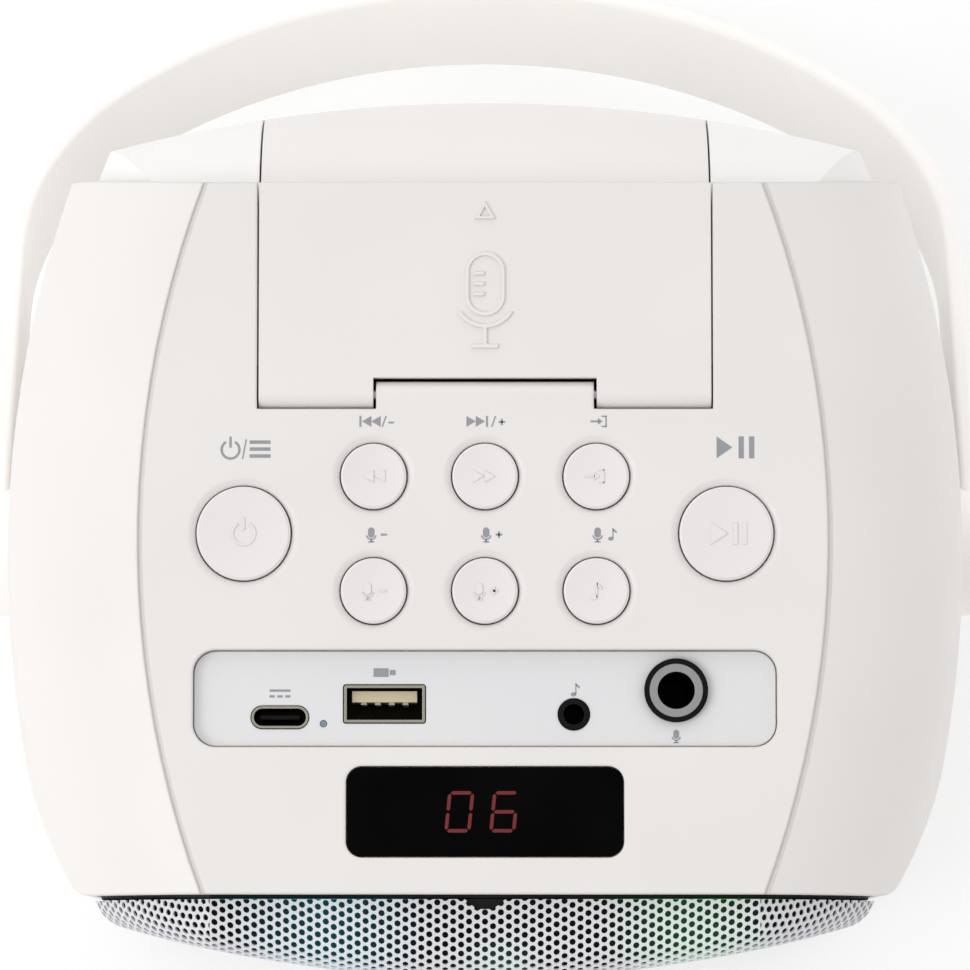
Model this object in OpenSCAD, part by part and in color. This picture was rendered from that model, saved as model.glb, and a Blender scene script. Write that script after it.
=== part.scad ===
// Karaoke machine: barrel-shaped housing with a top control panel, microphone compartment and handle.
// Millimetres. +X to the user's right, +Y to the rear, +Z up, the table at z = 0.

/* [Body] */
// Width of the housing at its widest
body_w = 170.2; // [168.6:0.4:173]
// Height of the control panel above the table
body_h = 170; // [166:1:176]
// Depth of the housing from front edge to rear edge
body_d = 123; // [121:1:126]
// Thickness of the housing wall
wall = 2.4; // [2:0.1:2.8]
// Thickness of the housing wall round the rear opening
rear_wall = 4; // [3.6:0.1:4.4]
// Distance of a side curve's centre beyond the middle of the body
side_x = 115; // [105:1:130]
// Radius of the shoulder between panel and side
shoulder_r = 38.4; // [37.8:0.1:39.4]
// Drop from the panel to where the side turns upright
shoulder_drop = 36.2; // [35:0.1:37]
// Distance of the front corner curves' centre before the middle of the body
corner_y = 16; // [14:0.5:18]
// Radius of the housing's front corners in plan
corner_round = 4; // [3:0.5:5]
// How far the rear rim bows to the rear at half height
rear_bow = 6.8; // [5:0.1:8]
// Radius between the side and the base
base_r = 10; // [8:0.5:12]
// Width of the groove between panel and shoulder
crease_w = 0.7; // [0.4:0.1:1]
// Depth of the groove between panel and shoulder
crease_depth = 0.5; // [0.3:0.1:0.8]

/* [Feet] */
// Height of the body's base above the table
foot_h = 4; // [3:0.5:6]
// Radius of a rubber foot
foot_r = 8; // [7:0.5:9]
// Distance of a foot's middle inside the body's widest sides
foot_side = 23.1; // [22.5:0.1:26]
// Distance of a foot's middle inside the front and rear edges
foot_end = 5.5; // [4.5:0.5:10]

/* [Rear cover] */
// Distance of the rear cover's outline inside the housing's
cover_inset = 4.3; // [4.2:0.1:4.8]
// How far the rear cover bulges behind the housing
cover_bulge = 18.5; // [17.6:0.1:19.4]
// Radius of the rear cover's bulge in plan
cover_r = 259; // [240:1:280]
// Radius of the rear cover's rounded top
cover_edge_r = 28; // [26:1:30]
// Radius of the rear cover's rounded bottom
cover_foot_r = 9; // [7:0.5:10]
// How far the curve that trims the rear cover's corners lies outside the body
cover_corner = 13.4; // [12:0.1:15]
// Thickness of the rear cover
cover_t = 2.4; // [2:0.1:2.8]
// Distance of a cover screw inside the body's widest sides
cover_screw_side = 23.1; // [22.5:0.1:25]

/* [Grille] */
// Distance of the grille's outline inside the housing's
grille_inset = 3.6; // [3:0.1:4.2]
// How far the grille bulges in front of the housing
grille_bulge = 14.2; // [13:0.1:16]
// Radius of the grille's bulge in plan
grille_r = 234; // [220:1:250]
// Radius of the grille's rounded edge
grille_edge_r = 4.5; // [3.5:0.1:5.5]
// How far the curve that trims the grille's corners lies outside the body
grille_corner = 7.4; // [6:0.1:9]
// Thickness of the grille sheet
grille_t = 0.8; // [0.6:0.1:1]
// Gap between the housing and the grille's rim
grille_gap = 0.8; // [0.6:0.1:1.2]
// Width of the notch in the middle of the grille's upper rim
grille_notch_w = 6.9; // [5:0.1:9]
// Depth of that notch
grille_notch_depth = 1.7; // [1.2:0.1:2.2]

/* [Door] */
// Half width of the compartment door
door_half_w = 39.1; // [37:0.1:40]
// Gap round the door
door_gap = 0.3; // [0.25:0.05:0.4]
// Distance of the hinge axis behind the middle of the body
hinge_y = 24.7; // [24:0.1:26]
// Radius of a hinge knuckle, and the door's thickness
knuckle_r = 2.3; // [2.1:0.1:2.4]
// Half width of the housing's middle knuckle
tab_half_w = 18.8; // [16:0.1:21]
// Gap between the middle knuckle and the door's notch
notch_gap = 0.5; // [0.4:0.05:0.6]
// Radius of the hinge pin
hinge_pin_r = 0.9; // [0.8:0.05:1]
// Height of the door's lower end above the table
door_low_z = 134; // [128:1:140]
// Height of the embossed marks on the door
emboss_h = 0.35; // [0.2:0.05:0.5]

/* [Compartment] */
// Half width of the compartment liner
well_half_w = 36; // [34:0.5:36.5]
// Front face of the compartment liner behind the middle of the body
well_front_y = 30; // [29.5:0.5:32]
// How far the compartment liner reaches behind the housing's rear edge
well_back = 9.5; // [7:0.5:10]
// Wall of the compartment liner
well_wall = 1.6; // [1.4:0.1:2]
// Height of the compartment's floor above the table
well_low_z = 24; // [24:1:30]

/* [Handle] */
// Distance of the handle's pivot behind the middle of the body
pivot_y = 3.5; // [1:0.5:4]
// Height of the handle's pivot above the table
pivot_z = 90; // [89:0.5:93]
// Gap between the body and a handle arm
arm_gap = 3.3; // [3:0.1:4.5]
// Reach of the handle from its pivot to its outer face
handle_reach = 139.4; // [137.4:0.2:140]
// Width of the handle's band
handle_band_w = 21; // [18:0.5:22]
// Thickness of the handle's band
handle_t = 3.4; // [3:0.1:3.8]
// Radius of the handle's arch
handle_arch_r = 107; // [104:0.5:112]
// Radius of the handle's corners
handle_corner_r = 60; // [54:1:62]
// Slope of the folded handle below level
handle_fold_deg = 35.2; // [31:0.2:35.6]
// Radius of the round end of a handle arm
handle_end_r = 12; // [11:0.5:13]
// Radius of a pivot bolt
pivot_r = 3; // [2.5:0.1:3.5]

/* [Buttons] */
// Radius of a large button's hole
large_r = 8.35; // [7.5:0.05:8.8]
// Radius of a small button's hole
small_r = 5.9; // [5:0.05:6.4]
// Gap between a button and its hole
button_gap = 0.25; // [0.2:0.05:0.3]
// Width of the sloping ring round a button
halo_w = 1.1; // [0.8:0.1:1.4]
// Distance of a large button from the middle
large_x = 41.6; // [40.5:0.1:43]
// Distance of the large buttons behind the middle of the body
large_y = 0.5; // [0:0.1:1]
// Spacing of the small buttons sideways
small_pitch_x = 19.2; // [18.5:0.1:19.8]
// Spacing of the small buttons front to rear
small_pitch_y = 19.8; // [19:0.1:20.4]
// Travel of a button
button_travel = 0.8; // [0.5:0.1:0.9]

/* [Ports] */
// Width of the port recess
recess_w = 100.5; // [98:0.5:102]
// Height of the port recess, front to rear
recess_h = 16.7; // [16:0.1:17.4]
// Corner radius of the port recess
recess_r = 4; // [3:0.5:5]
// Depth of the port recess
recess_depth = 1.8; // [1.5:0.1:2]
// Middle of the port recess in front of the body's middle
recess_y = 27.9; // [27.5:0.1:28.3]
// Place of the USB-C inlet left of the middle
usb_c_x = 35.3; // [34:0.1:37]
// Place of the USB-A socket left of the middle
usb_x = 17.3; // [16:0.1:18.5]
// Place of the auxiliary jack right of the middle
aux_x = 15.3; // [14:0.1:17]
// Place of the microphone jack right of the middle
mic_x = 32.9; // [32:0.1:34]
// Bore of the auxiliary jack, radius
aux_bore_r = 1.78; // [1.75:0.01:1.85]
// Bore of the microphone jack, radius
mic_bore_r = 3.22; // [3.18:0.01:3.3]

/* [Display] */
// Width of the display window
display_w = 47.8; // [44:0.2:50]
// Height of the display window, front to rear
display_h = 15.7; // [14:0.1:16.2]
// Corner radius of the display window
display_r = 2.8; // [2:0.1:3.5]
// Middle of the display in front of the body's middle
display_y = 47.4; // [47:0.1:48]

/* [Loudspeaker] */
// Radius of the loudspeaker's hole in the baffle
driver_r = 44; // [40:0.5:46]
// Thickness of the front baffle
baffle_t = 3; // [2.5:0.1:3.5]
// Radius of the magnet
magnet_r = 35; // [30:0.5:36]
// Travel of the cone each way
cone_travel = 1; // [0.5:0.1:1.2]

/* [Boards] */
// Thickness of a circuit board
board_t = 1.6; // [1.2:0.1:1.8]
// Radius of a battery cell
cell_r = 9.2; // [9:0.1:9.4]
// Length of a battery cell
cell_len = 65; // [60:0.5:66]

/* [Hidden] */

$fn = 96;
// Fine steps for the long body curves
fine = 240;
// Overlap that makes cuts pass right through
eps = 0.05;
// Running clearance of a pin in its bore
run = 0.05;
// Gap between seated pieces
seat = 0.3;

half_d = body_d / 2;
rim_r = side_x + body_w / 2;
shoulder_z = body_h - shoulder_drop;
crease_r = rim_r - shoulder_r + sqrt(shoulder_r * shoulder_r - shoulder_drop * shoulder_drop);
panel_low = body_h - wall;
floor_z = foot_h + wall;
mid_z = (body_h + foot_h) / 2;
corner_r = body_w / 2 - 0.7;
round_y = half_d - corner_round;
round_x = sqrt(pow(corner_r - corner_round, 2) - pow(round_y - corner_y, 2));
round_low_y = corner_y + (round_y - corner_y) * corner_r / (corner_r - corner_round);
foot_x = body_w / 2 - foot_side;
foot_y = half_d - foot_end;
bow_r = (pow((body_h - foot_h) / 2, 2) + rear_bow * rear_bow) / (2 * rear_bow);

// Half width of the body at a depth y and an inset from its surface
function half_width(y, inset) = sqrt(pow(rim_r - inset, 2) - y * y) - side_x;

// Rear cover
cover_top = body_h - cover_inset;
cover_low = foot_h + cover_inset;
cover_y = half_d + cover_bulge;
cover_trim_r = body_w / 2 + cover_corner;
cover_screw_x = body_w / 2 - cover_screw_side;
skirt_d = 6;
rear_lip = skirt_d - 2;
front_lip = 3.2;
cover_screw_zs = [foot_h + 34, body_h - 40];
cover_post_r = 4.2;
cover_screw_r = 1.5;
cover_head_r = 3;
cover_head_y = half_d + 1;
cover_post_d = 16;

// Door and compartment
hinge_z = body_h - knuckle_r;
mic_mark_y = 43.8;
arrow_y = 56.6;
opening_y = hinge_y - knuckle_r - door_gap;
notch_y = hinge_y + knuckle_r + notch_gap;
opening_half_w = door_half_w + door_gap;
well_rear_y = half_d + well_back;
well_top = panel_low - seat;
well_flange = 6;
well_flange_t = 2;

// Handle
handle_half_w = body_w / 2 + arm_gap + handle_t;
arch_centre = handle_reach - handle_arch_r;
corner_x = handle_half_w - handle_corner_r;
corner_v = arch_centre + sqrt(pow(handle_arch_r - handle_corner_r, 2) - corner_x * corner_x);
handle_inner_x = body_w / 2 + 0.6;
handle_end_x = handle_half_w + 0.5;
handle_cap_t = 1.4;
cap_seat_x = handle_end_x - handle_cap_t;
bolt_head_r = 2 * pivot_r;
bolt_head_t = 1.6;
bolt_head_x = cap_seat_x - seat - bolt_head_t;
boss_low_x = body_w / 2 - 16;
boss_r = 9;
nut_t = 4;

// Grille
grille_y = half_d + grille_bulge;
grille_rim_y = half_d + grille_gap;
grille_trim_r = body_w / 2 + grille_corner;
grille_half_w = sqrt(grille_trim_r * grille_trim_r - grille_rim_y * grille_rim_y);
frame_step = 1.2;
frame_w = 9;
baffle_front_y = half_d - front_lip - seat;
baffle_rear_y = baffle_front_y - baffle_t;
frame_front_y = grille_rim_y - 0.2;
frame_rear_y = baffle_front_y + seat;
light_board_y = frame_rear_y + board_t;
light_outer = grille_inset + frame_step + frame_w + 1;
light_w = 11;
light_inset = light_outer + light_w / 2;
diffuser_t = 1.2;
light_h = 1.5;
light_half_w = grille_half_w + grille_inset - light_inset;
// Places of the lights: x and z
light_places = concat(
    [for (x = [-42 : 21 : 42], z = [body_h - light_inset, foot_h + light_inset]) [x, z]],
    [for (s = [-1, 1], z = [-34 : 34 : 34]) [s * light_half_w, mid_z + z]]);

// Buttons
button_proud = 0.4;
flange_w = 1;
flange_t = 1;
button_low = panel_low - seat - flange_t;
switch_size = 6;
switch_h = 3.4;
stem_h = 1;
board_top = 160.2 + body_h - 170;
stem_top = board_top + switch_h + stem_h;
post_low = stem_top + button_travel + 0.15;
small_low_y = large_y - small_pitch_y / 2;
small_high_y = large_y + small_pitch_y / 2;

// Ports
recess_floor = body_h - recess_depth;
plate_margin = 2.4;
plate_low = panel_low - seat - 1.6;
port_board_top = plate_low - 13.8;
usb_c_y = recess_y + 3.2;
usb_y = recess_y + 0.9;
aux_y = recess_y + 2.7;
mic_y = recess_y - 1.4;
lens_x = usb_c_x - 7.5;
lens_y = usb_c_y + 1.1;
mic_thread_r = 4.6;
mic_body_low = plate_low - 34;
port_post_x = [-43, 21.5];
port_post_y = [recess_y - 7, recess_y + 7];

// Display
window_t = 1.7;
window_sink = 0.15;
window_ledge = 1.6;
display_gap = 0.2;

// Loudspeaker
speaker_z = mid_z;
basket_r = driver_r + 7;
flange_front = baffle_rear_y - seat;
cone_r = driver_r - 7;
coil_r = 13;
cone_front = baffle_rear_y - 2.5;
cone_rear = cone_front - 17;
gap_r = seat;
spider_y = cone_rear - 3;
magnet_front = spider_y - 5 - cone_travel;
magnet_t = 18;
magnet_rear = magnet_front - magnet_t;
screw_ring_r = driver_r + 3.6;

// Boards and cells
main_board_y = 15.5;
main_board_half_w = 52;
main_board_z = [38, 126];
cell_y = [-34, -13];
cradle_wall = 1.6;
cradle_z = floor_z + seat;
cell_z = cradle_z + cradle_wall + cell_r + seat;
cradle_half = cell_len / 2 + seat + cradle_wall;
cradle_ear = 7;
cradle_ear_t = 3;
cradle_screw_x = cradle_half + cradle_ear / 2;
cradle_screw_y = (cell_y[0] + cell_y[1]) / 2;
screw_r = 1.3;
screw_head_r = 2.4;
screw_head_t = 1.5;
control_half_w = 53;
control_y = [-17.5, 18.5];
control_post_x = 50;
control_post_y = [-13, 13];
board_post_x = main_board_half_w - 18;
board_post_z = [main_board_z[0] + 6, main_board_z[1] - 6];
speaker_wire_r = 0.9;
battery_wire_r = 1.0;

// Wires: round numbers chosen along their real route
speaker_route = [[39, -26.2, 85], [39, -24, 85], [39.5, -20, 84], [40, -15, 81], [41, -10, 77],
    [42, -4, 72], [42, 3, 68], [41.5, 9, 66], [41, 12, 66], [41, 14.3, 66]];
battery_route = [[-37, -30, 10.2], [-37, -30, 14], [-37, -29, 19], [-37.4, -26, 25], [-38, -20, 31],
    [-39, -12, 37], [-40, -4, 43], [-40.5, 4, 48], [-40.5, 10, 51], [-40.5, 14.3, 52]];

// Frame of a tube's ring: the direction at point i of a route
function route_dir(p, i) = let (a = p[max(i - 1, 0)], b = p[min(i + 1, len(p) - 1)]) (b - a) / norm(b - a);
function ring(c, d, r, n) =
    let (u0 = cross(d, [1, 0, 0]), u = u0 / norm(u0), v = cross(d, u))
    [for (k = [0 : n - 1]) c + r * (cos(k * 360 / n) * u + sin(k * 360 / n) * v)];

// Tube along a route, eight-sided
module tube(p, r) {
    n = 8;
    m = len(p);
    pts = [for (i = [0 : m - 1]) each ring(p[i], route_dir(p, i), r, n)];
    sides = [for (i = [0 : m - 2], k = [0 : n - 1])
        let (a = i * n + k, b = i * n + (k + 1) % n) each [[a, a + n, b], [b, a + n, b + n]]];
    ends = [[for (k = [0 : n - 1]) k], [for (k = [n - 1 : -1 : 0]) (m - 1) * n + k]];
    polyhedron(points = pts, faces = concat(sides, ends));
}

// Section of the body from a side curve's centre outwards
module side_section(inset) {
    intersection() {
        union() {
            translate([0, foot_h + base_r]) square([rim_r - inset, shoulder_z - foot_h - base_r]);
            translate([rim_r - shoulder_r, shoulder_z]) circle(shoulder_r - inset, $fn = fine);
            translate([0, shoulder_z - eps]) square([rim_r - shoulder_r, shoulder_drop + eps]);
            if (base_r > inset) translate([rim_r - base_r, foot_h + base_r])
                circle(base_r - inset, $fn = fine);
            translate([0, foot_h]) square([rim_r - base_r, base_r + eps]);
        }
        translate([0, foot_h + inset]) square([rim_r - inset, body_h - foot_h - 2 * inset]);
    }
}

// Slab between two depths
module slab(y0, y1) {
    translate([-body_w, y0, -eps]) cube([2 * body_w, y1 - y0, body_h + 10]);
}

// The body's outer form at an inset, between two depths
module barrel(inset, y0, y1) {
    intersection() {
        translate([-side_x, 0, 0]) rotate_extrude($fn = fine) side_section(inset);
        translate([side_x, 0, 0]) rotate_extrude($fn = fine) side_section(inset);
        slab(y0, y1);
    }
}

// Bulge in plan with rounded bottom and top, its centre line at the origin
module lens(r, low, high, low_r, high_r) {
    rotate_extrude($fn = fine) union() {
        translate([0, low]) square([r - low_r, low_r + eps]);
        translate([0, low + low_r]) square([r, high - low - low_r - high_r]);
        translate([0, high - high_r - eps]) square([r - high_r, high_r + eps]);
        translate([r - low_r, low + low_r]) circle(low_r);
        translate([r - high_r, high - high_r]) circle(high_r);
    }
}

// Outer form of the rear cover at an inset
module cover_form(inset, y0) {
    intersection() {
        barrel(cover_inset + inset, y0, cover_y + 1);
        translate([0, cover_y - cover_r, 0])
            lens(cover_r - inset, cover_low + inset, cover_top - inset,
                cover_foot_r - inset, cover_edge_r - inset);
        cylinder(r = cover_trim_r - inset, h = body_h, $fn = fine);
    }
}

// Outer form of the grille at an inset
module grille_form(inset) {
    intersection() {
        barrel(grille_inset + inset, -grille_y - 1, -grille_rim_y + (inset > 0 ? 1 : 0));
        translate([0, grille_r - grille_y, 0])
            lens(grille_r - inset, foot_h + grille_inset + inset, body_h - grille_inset - inset,
                grille_edge_r - inset, grille_edge_r - inset);
        cylinder(r = grille_trim_r - inset, h = body_h, $fn = fine);
    }
}

module rounded_rect(w, h, r) {
    square([w - 2 * r, h], center = true);
    square([w, h - 2 * r], center = true);
    for (x = [-1, 1], y = [-1, 1]) translate([x * (w / 2 - r), y * (h / 2 - r)]) circle(r, $fn = 48);
}

module rounded_plate(w, h, r, t) {
    linear_extrude(t) rounded_rect(w, h, r);
}

// Plain cylinder along X from x0 to x1
module bar_x(r, x0, x1) {
    translate([x0, 0, 0]) rotate([0, 90, 0]) cylinder(r = r, h = x1 - x0, $fn = 64);
}

// Plain cylinder along Y from y0 to y1
module bar_y(r, y0, y1) {
    translate([0, y0, 0]) rotate([-90, 0, 0]) cylinder(r = r, h = y1 - y0, $fn = 64);
}

module box(low, high) {
    translate(low) cube(high - low);
}

// Places of the buttons: x, y and hole radius
large_left = [-large_x, large_y, large_r];
large_right = [large_x, large_y, large_r];
function small_at(i, y) = [(i - 1) * small_pitch_x, y, small_r];
button_places = [large_left, large_right, for (i = [0 : 2], y = [small_high_y, small_low_y]) small_at(i, y)];

// Outline behind the grille at an inset from the body, between two depths
module front_outline(inset, y0, y1) {
    half = grille_half_w + grille_inset - inset;
    intersection() {
        barrel(inset, y0, y1);
        box([-half, y0, 0], [half, y1, body_h]);
    }
}

// Outline in plan that rounds the front corners, at an inset
module front_plan(inset) {
    slab(-corner_y - 4, body_d);
    translate([0, -corner_y, -eps]) cylinder(r = corner_r - inset, h = body_h + 10, $fn = fine);
}

// What a front corner loses to its rounding
module corner_cut() {
    difference() {
        box([round_x, -half_d - 1, -eps], [round_x + 4 * corner_round, -round_low_y, body_h + 1]);
        translate([round_x, -round_y, -1]) cylinder(r = corner_round, h = body_h + 3);
    }
}

module housing_shell() {
    difference() {
        intersection() {
            barrel(0, -half_d, half_d + rear_bow);
            front_plan(0);
            translate([0, half_d + rear_bow - bow_r, mid_z]) bar_x(bow_r, -body_w, body_w);
        }
        intersection() {
            barrel(wall, -half_d + front_lip - eps, half_d - rear_lip);
            front_plan(wall);
        }
        front_outline(grille_inset + frame_step - seat, -half_d - 1, -half_d + front_lip);
        corner_cut();
        mirror([1, 0, 0]) corner_cut();
        barrel(rear_wall, half_d - rear_lip - eps, half_d + rear_bow + 1);
    }
}

module crease() {
    translate([-side_x, 0, body_h]) rotate_extrude($fn = fine)
        translate([crease_r, 0]) square([crease_w, 2 * crease_depth], center = true);
}

module hinge_tab() {
    translate([0, hinge_y, hinge_z]) bar_x(knuckle_r, -tab_half_w, tab_half_w);
    box([-tab_half_w, opening_y - 2, hinge_z - knuckle_r], [tab_half_w, hinge_y, body_h]);
}

module pivot_boss() {
    translate([0, pivot_y, pivot_z]) bar_x(boss_r, boss_low_x, body_w / 2 - 1);
}

// Post inside the housing that a cover screw bites
module cover_post(x, z) {
    side = sign(x);
    wall_x = half_width(half_d - skirt_d - cover_post_d, wall) + 1;
    translate([x, 0, z]) bar_y(cover_post_r, half_d - skirt_d - cover_post_d, half_d - skirt_d - seat);
    box([side > 0 ? x : -wall_x, half_d - skirt_d - cover_post_d, z - 1.5],
        [side > 0 ? wall_x : x, half_d - skirt_d - cover_post_d / 2, z + 1.5]);
}

module control_post(x, y) {
    translate([x, y, board_top + seat]) cylinder(r = 3, h = panel_low - board_top - seat + eps, $fn = 48);
}

module foot_place(x, y) {
    translate([x, y, 0]) children();
}

module housing() {
    color("#f4f1ec") difference() {
        union() {
            difference() {
                housing_shell();
                box([-opening_half_w, opening_y, door_low_z],
                    [opening_half_w, half_d + rear_bow + 1, body_h + 1]);
            }
            hinge_tab();
            pivot_boss();
            mirror([1, 0, 0]) pivot_boss();
            intersection() {
                for (x = [-cover_screw_x, cover_screw_x], z = cover_screw_zs) cover_post(x, z);
                barrel(wall / 2, -half_d, half_d);
            }
            for (x = [-control_post_x, control_post_x], y = control_post_y) control_post(x, y);
        }
        crease();
        mirror([1, 0, 0]) crease();
        for (b = button_places) translate([b[0], b[1], 0]) {
            translate([0, 0, panel_low - 1]) cylinder(r = b[2], h = wall + 2);
            translate([0, 0, body_h - 0.6]) cylinder(r1 = b[2], r2 = b[2] + halo_w, h = 0.61);
        }
        translate([0, -recess_y, panel_low - 1]) rounded_plate(recess_w, recess_h, recess_r, wall + 2);
        translate([0, -display_y, panel_low - 1])
            rounded_plate(display_w - 2 * window_ledge, display_h - 2 * window_ledge, 1, wall + 2);
        translate([0, -display_y, body_h - window_sink - window_t])
            rounded_plate(display_w, display_h, display_r, wall + 2);
        translate([0, pivot_y, pivot_z]) bar_x(pivot_r + run, -body_w, body_w);
        translate([0, hinge_y, hinge_z]) bar_x(hinge_pin_r + run, -tab_half_w - 1, tab_half_w + 1);
        for (x = [-cover_screw_x, cover_screw_x], z = cover_screw_zs)
            translate([x, 0, z]) bar_y(cover_screw_r + run, half_d - skirt_d - cover_post_d - 1, half_d);
        for (x = [-control_post_x, control_post_x], y = control_post_y)
            translate([x, y, board_top]) cylinder(r = screw_r + run, h = 5.5, $fn = 32);
        for (x = [-foot_x, foot_x], y = [-foot_y, foot_y])
            foot_place(x, y) cylinder(r = foot_r / 3 + run, h = floor_z + 1, $fn = 48);
        for (s = [-1, 1]) translate([s * cradle_screw_x, cradle_screw_y, foot_h + 0.8])
            cylinder(r = screw_r + run, h = wall, $fn = 32);
    }
}

// Opening in the rear cover that the door closes
module door_cut(gap, low) {
    box([-door_half_w - gap, 0, low - gap], [door_half_w + gap, cover_y + 5, body_h + 5]);
}

module rear_cover() {
    color("#f8f7f4") difference() {
        union() {
            difference() {
                cover_form(0, half_d - skirt_d);
                cover_form(cover_t, half_d - skirt_d - 1);
            }
            intersection() {
                for (x = [-cover_screw_x, cover_screw_x], z = cover_screw_zs)
                    translate([x, 0, z]) bar_y(cover_post_r, half_d - skirt_d, cover_y);
                cover_form(cover_t / 2, half_d - skirt_d);
            }
        }
        door_cut(door_gap, door_low_z);
        for (x = [-cover_screw_x, cover_screw_x], z = cover_screw_zs) translate([x, 0, z]) {
            bar_y(cover_screw_r + run, half_d - skirt_d - 1, cover_y);
            bar_y(cover_head_r + run, cover_head_y, cover_y + 1);
        }
    }
}

// Outline of the embossed microphone, its middle at the origin
module mic_mark() {
    line = 0.7;
    difference() {
        capsule(3.45, 11.2);
        capsule(3.45 - line, 11.2 - 2 * line);
    }
    for (i = [-1 : 1]) translate([-2, 1.8 * i - 0.3]) square([1.9, 0.6]);
    intersection() {
        difference() {
            translate([0, -2.1]) circle(5.6);
            translate([0, -2.1]) circle(5.6 - line);
        }
        translate([-6, -9]) square([12, 4.1]);
    }
    translate([-line / 2, -10.6]) square([line, 3]);
    translate([-2.3, -11.2]) square([4.6, line]);
}

// Capsule outline of a width and a length, upright
module capsule(r, len) {
    square([2 * r, len - 2 * r], center = true);
    for (y = [-1, 1]) translate([0, y * (len / 2 - r)]) circle(r, $fn = 48);
}

module arrow_mark() {
    difference() {
        polygon([[-1.8, -1.5], [1.8, -1.5], [0, 1.6]]);
        polygon([[-0.9, -1], [0.9, -1], [0, 0.6]]);
    }
}

module door() {
    color("#f4f1ec") difference() {
        union() {
            box([-door_half_w, hinge_y, hinge_z], [door_half_w, half_d, body_h]);
            for (side = [-1, 1]) translate([0, hinge_y, hinge_z])
                bar_x(knuckle_r, side > 0 ? tab_half_w + notch_gap : -door_half_w,
                    side > 0 ? door_half_w : -tab_half_w - notch_gap);
            box([-door_half_w, half_d - knuckle_r, cover_top - 5.5], [door_half_w, half_d, body_h]);
            intersection() {
                difference() {
                    cover_form(0, half_d - eps);
                    cover_form(knuckle_r, half_d - 1);
                }
                door_cut(0, door_low_z);
            }
            translate([0, mic_mark_y, body_h - eps]) linear_extrude(emboss_h + eps) mic_mark();
            translate([0, arrow_y, body_h - eps]) linear_extrude(emboss_h + eps) arrow_mark();
        }
        box([-tab_half_w - notch_gap, 0, 0], [tab_half_w + notch_gap, notch_y, body_h + 1]);
        translate([0, hinge_y, hinge_z]) bar_x(hinge_pin_r + run, 1 - door_half_w, door_half_w - 1);
    }
}

module hinge_pin() {
    color("silver") translate([0, hinge_y, hinge_z])
        bar_x(hinge_pin_r, 1 + seat - door_half_w, door_half_w - 1 - seat);
}

module compartment_liner() {
    color("#dcdad6") difference() {
        union() {
            difference() {
                union() {
                    box([-well_half_w, well_front_y, well_low_z], [well_half_w, well_rear_y, well_top]);
                    box([-well_half_w - well_flange, well_front_y, well_top - well_flange_t],
                        [well_half_w + well_flange, half_d - skirt_d - seat, well_top]);
                }
                box([well_wall - well_half_w, well_front_y + well_wall, well_low_z + well_wall],
                    [well_half_w - well_wall, well_rear_y - well_wall, well_top + 1]);
                box([-body_w, half_d - knuckle_r - 3, door_low_z - 2], [body_w, body_d, body_h]);
            }
            for (x = [-board_post_x, board_post_x], z = board_post_z) translate([x, 0, z])
                bar_y(3, main_board_y + board_t / 2 + seat, well_front_y + well_wall / 2);
            for (side = [-1, 1]) liner_foot(side);
        }
        for (x = [-board_post_x, board_post_x], z = board_post_z) translate([x, 0, z])
            bar_y(screw_r + run, main_board_y, main_board_y + 9);
    }
}

// Leg that stands the liner on the housing's floor
module liner_foot(side) {
    box([side * 20 - 4, well_front_y + 4, floor_z + seat],
        [side * 20 + 4, well_front_y + 24, well_low_z + eps]);
}

// The handle's outline at an inset, pivot at the origin, arms upright
module handle_outline(inset) {
    intersection() {
        union() {
            intersection() {
                translate([0, arch_centre]) circle(handle_arch_r - inset, $fn = fine);
                polygon([[0, arch_centre], [3 * corner_x, 3 * corner_v - 2 * arch_centre],
                    [0, 4 * handle_reach], [-3 * corner_x, 3 * corner_v - 2 * arch_centre]]);
            }
            for (s = [-1, 1]) translate([s * corner_x, corner_v])
                circle(handle_corner_r - inset, $fn = fine);
            translate([inset - handle_half_w, -handle_end_r])
                square([2 * (handle_half_w - inset), corner_v + handle_end_r]);
        }
        translate([-handle_half_w, -handle_end_r])
            square([2 * handle_half_w, handle_reach + handle_end_r]);
    }
}

module handle_band() {
    intersection() {
        translate([0, handle_band_w / 2, 0]) rotate([90, 0, 0]) linear_extrude(handle_band_w)
            difference() {
                handle_outline(0);
                handle_outline(handle_t);
            }
        union() {
            translate([-body_w, -body_w, 0]) cube([2 * body_w, 2 * body_w, 2 * handle_reach]);
            bar_x(handle_band_w / 2, -body_w, body_w);
        }
    }
}

module place_handle() {
    translate([0, pivot_y, pivot_z]) rotate([-90 - handle_fold_deg, 0, 0]) children();
}

module handle() {
    color("#fbfbfa") place_handle() difference() {
        union() {
            handle_band();
            for (side = [0, 1]) mirror([side, 0, 0]) bar_x(handle_end_r, handle_inner_x, handle_end_x);
        }
        bar_x(pivot_r + run, -body_w, body_w);
        for (side = [0, 1]) mirror([side, 0, 0])
            bar_x(bolt_head_r + seat, bolt_head_x - seat, handle_end_x + 5);
    }
}

module pivot_bolts() {
    color("silver") translate([0, pivot_y, pivot_z]) for (side = [0, 1]) mirror([side, 0, 0]) {
        bar_x(pivot_r, boss_low_x - nut_t - 1.5, bolt_head_x + eps);
        bar_x(bolt_head_r, bolt_head_x, bolt_head_x + bolt_head_t);
    }
}

module pivot_nuts() {
    color("silver") translate([0, pivot_y, pivot_z]) for (side = [0, 1]) mirror([side, 0, 0])
        difference() {
            translate([boss_low_x - nut_t - seat, 0, 0]) rotate([0, 90, 0])
                cylinder(r = 2 * pivot_r, h = nut_t, $fn = 6);
            bar_x(pivot_r + run, 0, body_w);
        }
}

module pivot_caps() {
    color("#fbfbfa") place_handle() for (side = [0, 1]) mirror([side, 0, 0])
        bar_x(bolt_head_r + seat - 0.1, cap_seat_x, handle_end_x + 0.3);
}

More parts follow.
